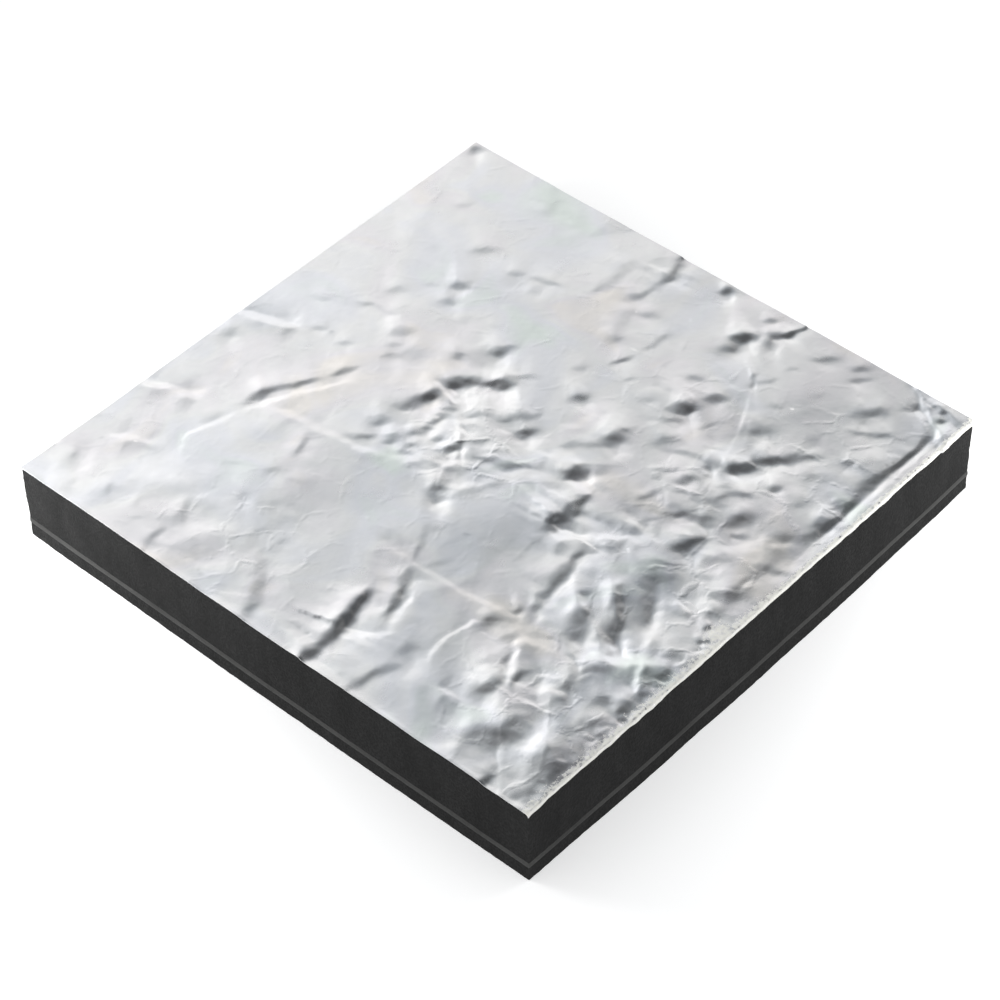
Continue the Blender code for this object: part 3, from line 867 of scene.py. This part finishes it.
# Under the roll the foil holds the foam's edge in by this much, down to this depth
HELD_IN = 0.1 * MM
HELD_DEPTH = 5.0 * MM
# The near sides stand out at their foot by this much, and by the bow at its middle, of which the
# left side has this share
FOOT_OUT = 0.2 * MM
LEFT_BOW_SHARE = 0.4
# The thick foam's top is sunk by this much under the facing, and its rim is this share wide
SUNK_DEPTH = 2.6 * MM
SUNK_SCALE = 0.978
# Its rim follows the facing down to this depth, and its rounded edge has this many steps
FOLLOW_DEPTH = 3.0 * MM
EDGE_STEPS = 5
# The knife's long waves and its chatter, drawn out upright by their stretch, and the grain: size
# of each, and how far they move the cut
CUT_WAVE = 0.25 * MM
CUT_WAVE_SIZE = 28.0 * MM
CUT_WAVE_STRETCH = (1.0, 1.0, 2.0)
CHATTER_SHARE = 0.4
CHATTER_SIZE = 4.2 * MM
CHATTER_STRETCH = (1.0, 1.0, 0.25)
GRAIN_SIZE = 1.7 * MM
FOAM_GRAIN = 0.14 * MM
BARRIER_GRAIN = 0.05 * MM
CUT_SEEDS = (1, 6, 10)
# Height of the rows of the barrier's cut edge
BARRIER_ROW = 0.6 * MM


def cut_slab(name, low, high, rows, cell, sunk=0.0):
    """A slab with fine meshed cut faces: an outline, extruded row by row and capped.

    A sunk top lies that much lower than the slab's rim, clear of the facing's pits.
    """
    deselect_all()
    bpy.ops.mesh.primitive_plane_add(size=1.0, location=(0.0, 0.0, 0.0))
    slab = bpy.context.object
    slab.name = name
    slab.data.name = name
    slab.scale = (high.x - low.x, high.y - low.y, 1.0)
    slab.location = ((high.x + low.x) / 2, (high.y + low.y) / 2, rows[0])
    bpy.ops.object.transform_apply(location=True, rotation=True, scale=True)
    only(slab)
    bpy.context.tool_settings.mesh_select_mode = (False, True, False)
    bpy.ops.object.mode_set(mode="EDIT")
    bpy.ops.mesh.select_all(action="SELECT")
    bpy.ops.mesh.delete(type="ONLY_FACE")
    bpy.ops.mesh.select_all(action="SELECT")
    bpy.ops.mesh.subdivide(number_cuts=round((high.x - low.x) / cell) - 1)
    for lower, upper in zip(rows, rows[1:]):
        bpy.ops.mesh.extrude_edges_move(
            TRANSFORM_OT_translate={"value": (0.0, 0.0, upper - lower)}
        )
    if sunk:
        bpy.ops.mesh.extrude_edges_move(TRANSFORM_OT_translate={"value": (0.0, 0.0, -sunk)})
        bpy.ops.transform.resize(value=(SUNK_SCALE, SUNK_SCALE, 1.0))
    bpy.ops.mesh.edge_face_add()
    bpy.ops.object.mode_set(mode="OBJECT")
    select_edges(slab, lambda a, b: max(a.z, b.z) < rows[0] + TINY)
    bpy.ops.object.mode_set(mode="EDIT")
    bpy.ops.mesh.edge_face_add()
    bpy.ops.mesh.select_all(action="SELECT")
    bpy.ops.mesh.normals_make_consistent(inside=False)
    bpy.ops.object.mode_set(mode="OBJECT")
    return slab


def even_rows(low, high, step):
    """Heights of the rows of a cut face, evenly spaced."""
    count = max(2, round((high - low) / step))
    return [low + (high - low) * i / count for i in range(count + 1)]


def outward(points, low, high):
    """The way out of the slab for each point on its sides, and nothing on its flat faces."""
    way = np.zeros_like(points)
    way[:, 0] = (points[:, 0] > high.x - TINY) * 1.0 - (points[:, 0] < low.x + TINY) * 1.0
    way[:, 1] = (points[:, 1] > high.y - TINY) * 1.0 - (points[:, 1] < low.y + TINY) * 1.0
    return way


def bowed(points, way):
    """How far the near sides stand out at each point, most at their foot and their middle."""
    down = np.clip(1.0 - points[:, 2] / ABSORBER_HIGH.z, 0.0, 1.0)
    front = np.clip(1.0 - (points[:, 0] / (LENGTH / 2)) ** 2, 0.0, 1.0) * (way[:, 1] < 0)
    left = np.clip(1.0 - (points[:, 1] / (WIDTH / 2)) ** 2, 0.0, 1.0) * (way[:, 0] < 0)
    return down * (FOOT_OUT + settings().foam.bow * (front + LEFT_BOW_SHARE * left))


def knife_cut(slab, low, high, grain):
    """Moves the cut faces in and out: the knife's long waves and chatter, and the foam's grain."""
    points = coordinates(slab)
    way = outward(points, low, high)
    long_waves = noise_at(points * CUT_WAVE_STRETCH, CUT_WAVE_SIZE, CUT_SEEDS[0])
    chatter = noise_at(points * CHATTER_STRETCH, CHATTER_SIZE, CUT_SEEDS[1])
    pores = noise_at(points, GRAIN_SIZE, CUT_SEEDS[2])
    move = CUT_WAVE * long_waves + CHATTER_SHARE * grain * chatter + grain * pores
    # Under the roll the foil holds the foam's edge in
    held = (way[:, 1] < 0) * smooth_step((points[:, 2] - ABSORBER_HIGH.z) / HELD_DEPTH + 1.0)
    move = move * (1.0 - held) - HELD_IN * held
    moved = points + way * move[:, None]
    moved += way * bowed(points, way)[:, None]
    set_coordinates(slab, moved)


def follow_foil(slab, depth):
    """Lifts and presses the slab's rim with the facing that lies on it, down to this depth."""
    points = coordinates(slab)
    near = np.flatnonzero(points[:, 2] > ABSORBER_HIGH.z - depth)
    near = near[outward(points[near], ABSORBER_LOW, ABSORBER_HIGH).any(1)]
    share = 1.0 - (ABSORBER_HIGH.z - points[near, 2]) / depth
    lift = foil_heights(points[near, :2])
    under_roll = points[near, 1] < ABSORBER_LOW.y + TINY
    lift[under_roll] = np.minimum(lift[under_roll], 0.0)
    points[near, 2] += lift * share
    set_coordinates(slab, points)


def round_front_edge(slab, radius):
    """Rounds the top front edge, which the facing is rolled over."""
    points = coordinates(slab)
    up = np.clip((points[:, 2] - (ABSORBER_HIGH.z - radius)) / radius, 0.0, 1.0)
    inset = radius * (1.0 - np.sqrt(1.0 - up * up))
    share = (ABSORBER_HIGH.y - points[:, 1]) / WIDTH
    points[:, 1] += inset * share
    set_coordinates(slab, points)


# Materials

# Crumbs of bare film: how strongly the noise counts beside the wear, the levels between which
# the foil turns to film, and the film's metallic share and extra roughness
CRUMB_CONTRAST = 2.2
CRUMB_LEVELS = (1.7, 2.35)
FILM_METALLIC = 0.2
FILM_DULLING = 0.25
# Roughness of the foil, from its flat plates to its rubbed creases
FOIL_ROUGHNESS = (0.18, 0.28)
# Fine wrinkles: how far their cells stray, the reach and height of the creases between plates and
# the grain's height beside theirs, and the height that all of them are measured in
WRINKLE_STRAY = 4.0 * MM
CREASE_REACH = 0.12
CREASE_HEIGHT = 3.2
GRAIN_HEIGHT = 0.25
WRINKLE_HEIGHT = 0.04 * MM
# Tones of the foam from a pore's cup, darkened as painted shade, to its paler strut rims and over
# the knife's bands, and of the vinyl over its specks and drifts, and the depth of the pores and
# height of the specks
PORE_SHADE_TONES = (0.62, 1.35)
BAND_TONES = (0.82, 1.2)
VINYL_TONES = (0.75, 1.25)
PORE_DEPTH = 0.25 * MM
SPECK_HEIGHT = 0.1 * MM


def feed(tree, node, inputs):
    """Feeds a node's sockets, each from a node's first output, from a socket or with a value."""
    for socket, source in inputs.items():
        if isinstance(source, bpy.types.Node):
            source = source.outputs[0]
        if isinstance(source, bpy.types.NodeSocket):
            tree.links.new(source, node.inputs[socket])
        else:
            node.inputs[socket].default_value = source


def add_node(tree, kind, inputs=None, stops=(), **values):
    """Adds a node, sets its properties and sockets by name, and a ramp's stops, and feeds it."""
    node = tree.nodes.new(kind)
    for name, value in values.items():
        if hasattr(node, name):
            setattr(node, name, value)
        else:
            node.inputs[name.replace("_", " ")].default_value = value
    if stops:
        for place, _ in stops[2:]:
            node.color_ramp.elements.new(place)
        for element, (place, colour) in zip(node.color_ramp.elements, stops):
            element.position = place
            element.color = (*colour, 1.0)
    feed(tree, node, inputs or {})
    return node


def new_material(name):
    """A node material with its Principled shader, and the object's own coordinates."""
    material = bpy.data.materials.new(name)
    material.use_nodes = True
    tree = material.node_tree
    shader = tree.nodes["Principled BSDF"]
    place = add_node(tree, "ShaderNodeTexCoord").outputs["Object"]
    return material, tree, shader, place


def foil_material():
    """Creased aluminium foil on a polyester film: a soft mirror with a faint pearl of tints."""
    look = settings().foil
    material, tree, shader, place = new_material("creased_aluminium_foil")
    # The rolled edge has lost some of its metal, and shows the pale film under it,
    # in crumbs a millimetre or two wide
    wear = add_node(tree, "ShaderNodeAttribute", attribute_name="scuff").outputs["Fac"]
    crumbs = add_node(
        tree, "ShaderNodeTexNoise", {"Vector": place}, Scale=1 / (1.2 * MM), Detail=2.0,
        Roughness=0.6,
    )
    crumbled = add_node(
        tree, "ShaderNodeMath", {0: crumbs, 1: CRUMB_CONTRAST, 2: wear}, operation="MULTIPLY_ADD"
    )
    scuff = add_node(
        tree, "ShaderNodeMapRange", {"Value": crumbled}, From_Min=CRUMB_LEVELS[0],
        From_Max=CRUMB_LEVELS[1],
    )
    metal = add_node(
        tree, "ShaderNodeMapRange", {"Value": scuff}, To_Min=1.0, To_Max=FILM_METALLIC
    )
    # The film over the metal turns it faintly pink, green or blue, in drifts a few centimetres wide
    drifts = add_node(
        tree, "ShaderNodeTexNoise", {"Vector": place}, Scale=1 / (38 * MM), Detail=2.0,
        Roughness=0.5, Distortion=0.6,
    )
    tints = add_node(
        tree, "ShaderNodeValToRGB", {"Fac": drifts},
        stops=(
            (0.28, linear("EEF5F1")),
            (0.39, linear("F3F4F8")),
            (0.50, tuple(look.colour)),
            (0.61, linear("F5F3F5")),
            (0.72, linear("F8F4F0")),
        ),
    )
    bare = add_node(
        tree, "ShaderNodeMix", {"Factor": scuff, "A": tints, "B": (*look.film_colour, 1.0)},
        data_type="RGBA",
    )
    # Rubbed creases scatter more than the flat plates do, and the bare film more still
    rub = add_node(
        tree, "ShaderNodeTexNoise", {"Vector": place}, Scale=1 / (9 * MM), Detail=3.0,
        Roughness=0.6,
    )
    gloss = add_node(
        tree, "ShaderNodeMapRange", {"Value": rub}, From_Min=0.3, From_Max=0.7,
        To_Min=FOIL_ROUGHNESS[0], To_Max=FOIL_ROUGHNESS[1],
    )
    dulled = add_node(
        tree, "ShaderNodeMath", {0: scuff, 1: FILM_DULLING, 2: gloss}, operation="MULTIPLY_ADD"
    )
    # Wrinkles a few millimetres apart and sharp creases between wider plates, both where the foil
    # is crumpled, over a finer grain
    stray = add_node(
        tree, "ShaderNodeTexNoise", {"Vector": place}, Scale=1 / (7 * MM), Detail=2.0
    )
    pulled = add_node(
        tree, "ShaderNodeVectorMath",
        {0: stray.outputs["Color"], 1: (WRINKLE_STRAY,) * 3, 2: place}, operation="MULTIPLY_ADD",
    )
    wrinkles = add_node(
        tree, "ShaderNodeTexVoronoi", {"Vector": pulled}, feature="F1", voronoi_dimensions="2D",
        Scale=1 / (4.2 * MM),
    )
    plates = add_node(
        tree, "ShaderNodeTexVoronoi", {"Vector": pulled}, feature="DISTANCE_TO_EDGE",
        voronoi_dimensions="2D", Scale=1 / (13 * MM),
    )
    creases = add_node(
        tree, "ShaderNodeMapRange", {"Value": plates}, interpolation_type="SMOOTHSTEP",
        From_Max=CREASE_REACH, To_Min=CREASE_HEIGHT, To_Max=0.0,
    )
    broken = add_node(
        tree, "ShaderNodeMapRange", {"Value": rub}, From_Min=0.45, From_Max=0.65
    )
    kept = add_node(
        tree, "ShaderNodeMath", {0: creases, 1: broken, 2: wrinkles}, operation="MULTIPLY_ADD"
    )
    crumple = add_node(tree, "ShaderNodeAttribute", attribute_name="crumple").outputs["Fac"]
    deep = add_node(tree, "ShaderNodeMath", {0: kept, 1: crumple}, operation="MULTIPLY")
    grain = add_node(
        tree, "ShaderNodeTexNoise", {"Vector": place}, Scale=1 / (1.8 * MM), Detail=2.0,
        Roughness=0.5,
    )
    both = add_node(
        tree, "ShaderNodeMath", {0: grain, 1: GRAIN_HEIGHT, 2: deep}, operation="MULTIPLY_ADD"
    )
    bump = add_node(
        tree, "ShaderNodeBump", {"Height": both}, Strength=1.0, Distance=WRINKLE_HEIGHT
    )
    feed(tree, shader, {
        "Base Color": bare.outputs["Result"], "Metallic": metal, "Roughness": dulled,
        "Normal": bump,
    })
    return material


def toned(tree, colour, first, second):
    """A colour made lighter and darker by two tones."""
    shade = add_node(tree, "ShaderNodeMath", {0: first, 1: second}, operation="MULTIPLY")
    return add_node(
        tree, "ShaderNodeVectorMath", {0: tuple(colour), 1: shade}, operation="MULTIPLY"
    )


def foam_material(name, colour, seed):
    """Open-cell polyurethane foam, knife cut: charcoal, matt, pitted with fine pores."""
    pore = settings().foam.pore
    material, tree, shader, place = new_material(name)
    moved = add_node(
        tree, "ShaderNodeMapping", {"Vector": place}, Location=(seed * 0.37, seed * 0.11, 0.0)
    )
    # Each pore's cup is painted darker as shade, with paler strut rims round it
    pores = add_node(
        tree, "ShaderNodeTexVoronoi", {"Vector": moved}, feature="F1", Scale=1 / pore,
        Randomness=0.9,
    )
    pore_shade = add_node(
        tree, "ShaderNodeMapRange", {"Value": pores}, From_Min=0.1, From_Max=0.75,
        To_Min=PORE_SHADE_TONES[0], To_Max=PORE_SHADE_TONES[1],
    )
    # The knife leaves upright bands, and dust lies unevenly on the cut
    drawn_out = add_node(tree, "ShaderNodeMapping", {"Vector": moved}, Scale=(1.0, 1.0, 0.3))
    bands = add_node(
        tree, "ShaderNodeTexNoise", {"Vector": drawn_out}, Scale=1 / (7 * MM), Detail=3.0,
        Roughness=0.55,
    )
    tone = add_node(
        tree, "ShaderNodeMapRange", {"Value": bands}, From_Min=0.3, From_Max=0.7,
        To_Min=BAND_TONES[0], To_Max=BAND_TONES[1],
    )
    bump = add_node(
        tree, "ShaderNodeBump", {"Height": pores}, Strength=0.6, Distance=PORE_DEPTH
    )
    feed(tree, shader, {
        "Base Color": toned(tree, colour, pore_shade, tone), "Roughness": 0.95,
        "Specular IOR Level": 0.25, "Normal": bump,
    })
    return material


def barrier_material():
    """Mass-loaded vinyl, knife cut: dense grey, set lighter than its own dark grey as a painted
    sheen of the cut edge, a little waxy, with pale mineral specks.
    """
    material, tree, shader, place = new_material("mass_loaded_vinyl")
    specks = add_node(
        tree, "ShaderNodeTexNoise", {"Vector": place}, Scale=1 / (0.9 * MM), Detail=4.0,
        Roughness=0.7,
    )
    drift = add_node(
        tree, "ShaderNodeTexNoise", {"Vector": place}, Scale=1 / (22 * MM), Detail=2.0,
        Roughness=0.5,
    )
    tones = [
        add_node(
            tree, "ShaderNodeMapRange", {"Value": source}, From_Min=0.3, From_Max=0.7,
            To_Min=VINYL_TONES[0], To_Max=VINYL_TONES[1],
        )
        for source in (specks, drift)
    ]
    bump = add_node(
        tree, "ShaderNodeBump", {"Height": specks}, Strength=0.4, Distance=SPECK_HEIGHT
    )
    feed(tree, shader, {
        "Base Color": toned(tree, settings().barrier.colour, *tones), "Roughness": 0.7,
        "Normal": bump,
    })
    return material


# Operators

class INSULATION_OT_foil_facing(bpy.types.Operator):
    """Models the creased foil facing over its solid"""

    bl_idname = "insulation.foil_facing"
    bl_label = "Foil facing"

    def execute(self, context):
        foil = foil_sheet()
        finish_piece(foil, foil_material(), "foil_facing", "foil_facing")
        return {"FINISHED"}


class INSULATION_OT_foam_layers(bpy.types.Operator):
    """Models the thick absorber foam and the thin decoupler foam over their solids"""

    bl_idname = "insulation.foam_layers"
    bl_label = "Foam layers"

    def execute(self, context):
        foam = settings().foam
        radius = settings().foil.edge_radius
        glue = GLUE_LINE / 2
        low = ABSORBER_LOW.z - glue
        turn_start = ABSORBER_HIGH.z - radius
        rows = even_rows(low, turn_start, foam.cell)[:-1]
        turns = [math.radians(90 * step / EDGE_STEPS) for step in range(EDGE_STEPS + 1)]
        arc = [turn_start + radius * math.sin(turn) for turn in turns]
        absorber = cut_slab(
            "absorber_foam_block", ABSORBER_LOW, ABSORBER_HIGH, rows + arc, foam.cell, SUNK_DEPTH
        )
        follow_foil(absorber, FOLLOW_DEPTH)
        knife_cut(absorber, ABSORBER_LOW, ABSORBER_HIGH, FOAM_GRAIN)
        round_front_edge(absorber, radius)
        rows = even_rows(DECOUPLER_LOW.z, DECOUPLER_HIGH.z + glue, foam.cell)
        decoupler = cut_slab("decoupler_foam_layer", DECOUPLER_LOW, DECOUPLER_HIGH, rows, foam.cell)
        knife_cut(decoupler, DECOUPLER_LOW, DECOUPLER_HIGH, FOAM_GRAIN)
        for piece, node, colour, seed in (
            (absorber, "absorber_foam", foam.absorber_colour, 1),
            (decoupler, "decoupler_foam", foam.decoupler_colour_with_bounce, 4),
        ):
            shade_smooth(piece, CUT_SMOOTH_ANGLE)
            finish_piece(piece, foam_material(f"knife_cut_{node}", colour, seed), node, node)
        return {"FINISHED"}


class INSULATION_OT_barrier_sheet(bpy.types.Operator):
    """Models the mass-loaded barrier sheet over its solid"""

    bl_idname = "insulation.barrier_sheet"
    bl_label = "Barrier sheet"

    def execute(self, context):
        look = settings().barrier
        glue = GLUE_LINE / 2
        rows = even_rows(BARRIER_LOW.z - glue, BARRIER_HIGH.z + glue, BARRIER_ROW)
        barrier = cut_slab("barrier_sheet_layer", BARRIER_LOW, BARRIER_HIGH, rows, look.cell)
        points = coordinates(barrier)
        way = outward(points, BARRIER_LOW, BARRIER_HIGH)
        middle = (BARRIER_LOW.z + BARRIER_HIGH.z) / 2
        half = (rows[-1] - rows[0]) / 2
        crown = 1.0 - ((points[:, 2] - middle) / half) ** 2
        knife_cut(barrier, BARRIER_LOW, BARRIER_HIGH, BARRIER_GRAIN)
        set_coordinates(barrier, coordinates(barrier) + way * (look.bulge * crown)[:, None])
        shade_smooth(barrier, CUT_SMOOTH_ANGLE)
        finish_piece(barrier, barrier_material(), "barrier_sheet", "barrier_sheet")
        return {"FINISHED"}


# Light from the studio as the foil mirrors it: height above the horizon in degrees, and the
# linear red, green and blue there
STUDIO_LEVELS = (
    (0, 1.0, 1.0, 1.0),
    (29, 1.0, 1.0, 1.0),
    (36, 0.87, 0.87, 0.87),
    (40, 0.768, 0.768, 0.768),
    (44, 0.612, 0.62, 0.626),
    (47, 0.405, 0.427, 0.444),
    (51, 0.338, 0.361, 0.378),
    (56, 0.288, 0.309, 0.325),
    (63, 0.19, 0.199, 0.208),
    (72, 0.10, 0.104, 0.109),
    (90, 0.05, 0.051, 0.053),
)
# A brighter and a darker part of the studio: azimuth, height, reach in degrees, and what each
# does to the light there
CARD_AZIMUTH, CARD_HEIGHT, CARD_REACH, CARD_LIGHT = 72, 40, 27, 0.42
DARK_AZIMUTH, DARK_HEIGHT, DARK_REACH, DARK_SHARE = -9, 47, 30, 0.2
# Soft lamps that lift the two near sides toward their far corners: name, place, aim and share
SIDE_LAMPS = (
    ("left_side_lamp", (-0.22, 0.22, 0.08), (-0.115, 0.11, 0.015), 1.0),
    ("right_side_lamp", (0.22, -0.22, 0.08), (0.11, -0.115, 0.015), 0.6),
)
CAMERA_PLACE = (-0.5826, -0.5394, 0.805)
CAMERA_AIM = (-0.0197, -0.0179, 0.0320)
CAMERA_ROLL = -1.277
# How much brighter the floor shows to the camera alone, the width of the top light in degrees,
# and the size of the side lamps
FLOOR_LIFT = 0.34
TOP_LIGHT_WIDTH = 80
SIDE_LAMP_SIZE = 0.14


class INSULATION_OT_stage(bpy.types.Operator):
    """Adds the pale floor, the soft studio light and the camera"""

    bl_idname = "insulation.stage"
    bl_label = "Stage"

    def execute(self, context):
        add_floor()
        add_studio_light()
        add_camera()
        return {"FINISHED"}


def add_floor():
    """A wide white floor that keeps the panel's soft shadow."""
    look = settings().stage
    deselect_all()
    bpy.ops.mesh.primitive_plane_add(size=look.floor_side, location=(0.0, 0.0, 0.0))
    floor = bpy.context.object
    floor.name = "studio_floor"
    material, tree, shader, _ = new_material("white_studio_floor")
    path = add_node(tree, "ShaderNodeLightPath")
    lift = add_node(
        tree, "ShaderNodeMath", {0: path.outputs["Is Camera Ray"], 1: FLOOR_LIFT},
        operation="MULTIPLY",
    )
    feed(tree, shader, {
        "Base Color": (*look.floor_colour, 1.0), "Roughness": 1.0, "Specular IOR Level": 0.0,
        "Emission Color": (1.0, 1.0, 1.0, 1.0), "Emission Strength": lift,
    })
    floor.data.materials.append(material)


def studio_patch(tree, way, azimuth, height, reach, outside, inside):
    """A value that goes from one level outside a round part of the studio to another inside."""
    azimuth, height = math.radians(azimuth), math.radians(height)
    middle = (
        math.cos(height) * math.cos(azimuth),
        math.cos(height) * math.sin(azimuth),
        math.sin(height),
    )
    toward = add_node(
        tree, "ShaderNodeVectorMath", {0: way, 1: middle}, operation="DOT_PRODUCT"
    ).outputs["Value"]
    return add_node(
        tree, "ShaderNodeMapRange", {"Value": toward}, interpolation_type="SMOOTHSTEP",
        From_Min=math.cos(math.radians(reach)), From_Max=1.0, To_Min=outside, To_Max=inside,
    )


def add_studio_light():
    """The world as a studio that is white low down and dark overhead, and a soft top light."""
    world = bpy.data.worlds.new("soft_studio")
    bpy.context.scene.world = world
    world.use_nodes = True
    tree = world.node_tree
    way = add_node(tree, "ShaderNodeTexCoord").outputs["Generated"]
    up = add_node(tree, "ShaderNodeSeparateXYZ", {"Vector": way}).outputs["Z"]
    levels = add_node(
        tree, "ShaderNodeValToRGB", {"Fac": up},
        stops=[(math.sin(math.radians(height)), light) for height, *light in STUDIO_LEVELS],
    )
    card = studio_patch(tree, way, CARD_AZIMUTH, CARD_HEIGHT, CARD_REACH, 0.0, CARD_LIGHT)
    dark = studio_patch(tree, way, DARK_AZIMUTH, DARK_HEIGHT, DARK_REACH, 1.0, DARK_SHARE)
    lit = add_node(tree, "ShaderNodeVectorMath", {0: levels, 1: card}, operation="ADD")
    light = add_node(tree, "ShaderNodeVectorMath", {0: lit, 1: dark}, operation="MULTIPLY")
    feed(tree, tree.nodes["Background"], {"Color": light})
    deselect_all()
    bpy.ops.object.light_add(type="SUN", location=(0.0, 0.0, 1.5))
    top = bpy.context.object
    top.name = "soft_top_light"
    top.data.energy = settings().stage.fill_light
    top.data.angle = math.radians(TOP_LIGHT_WIDTH)
    top.visible_glossy = False
    for name, place, aim, share in SIDE_LAMPS:
        deselect_all()
        bpy.ops.object.light_add(type="AREA", location=place)
        lamp = bpy.context.object
        lamp.name = name
        lamp.data.shape = "DISK"
        lamp.data.size = SIDE_LAMP_SIZE
        lamp.data.energy = settings().stage.side_light * share
        lamp.rotation_euler = (Vector(place) - Vector(aim)).to_track_quat("Z", "Y").to_euler()
        lamp.visible_glossy = False
        lamp.visible_camera = False


def add_camera():
    """The camera, which looks down on the front corner."""
    data = bpy.data.cameras.new("panel_camera")
    data.sensor_width = 36.0
    data.lens = settings().stage.lens
    camera = bpy.data.objects.new("panel_camera", data)
    bpy.context.scene.collection.objects.link(camera)
    back = (Vector(CAMERA_PLACE) - Vector(CAMERA_AIM)).normalized()
    turn = back.to_track_quat("Z", "Y").to_matrix()
    roll = Matrix.Rotation(math.radians(CAMERA_ROLL), 3, "Z")
    camera.matrix_world = Matrix.LocRotScale(Vector(CAMERA_PLACE), turn @ roll, None)
    bpy.context.scene.camera = camera


class INSULATION_PT_sidebar(bpy.types.Panel):
    """Lists the panel's settings and the operators that build it"""

    bl_idname = "INSULATION_PT_sidebar"
    bl_label = "Acoustic Insulation Panel"
    bl_space_type = "VIEW_3D"
    bl_region_type = "UI"
    bl_category = "Insulation"

    def draw(self, context):
        for group, operator in (
            (settings().foil, INSULATION_OT_foil_facing),
            (settings().foam, INSULATION_OT_foam_layers),
            (settings().barrier, INSULATION_OT_barrier_sheet),
            (settings().stage, INSULATION_OT_stage),
        ):
            box = self.layout.box()
            for name in group.bl_rna.properties.keys():
                if name not in ("rna_type", "name"):
                    box.prop(group, name)
            box.operator(operator.bl_idname)


class InsulationSettings(bpy.types.PropertyGroup):
    """All of the panel's settings."""

    foil: PointerProperty(type=FoilSettings)
    foam: PointerProperty(type=FoamSettings)
    barrier: PointerProperty(type=BarrierSettings)
    stage: PointerProperty(type=StageSettings)


CLASSES = (
    FoilSettings,
    FoamSettings,
    BarrierSettings,
    StageSettings,
    InsulationSettings,
    INSULATION_OT_foil_facing,
    INSULATION_OT_foam_layers,
    INSULATION_OT_barrier_sheet,
    INSULATION_OT_stage,
    INSULATION_PT_sidebar,
)


def register():
    """Registers the classes and hangs the settings on the scene."""
    for cls in CLASSES:
        bpy.utils.register_class(cls)
    bpy.types.Scene.insulation = PointerProperty(type=InsulationSettings)


def unregister():
    """Takes the settings off the scene and unregisters the classes."""
    del bpy.types.Scene.insulation
    for cls in reversed(CLASSES):
        bpy.utils.unregister_class(cls)


def main():
    """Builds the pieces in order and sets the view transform."""
    register()
    bpy.ops.insulation.foil_facing()
    bpy.ops.insulation.foam_layers()
    bpy.ops.insulation.barrier_sheet()
    bpy.ops.insulation.stage()
    bpy.context.scene.view_settings.view_transform = "Standard"


if __name__ == "__main__":
    main()
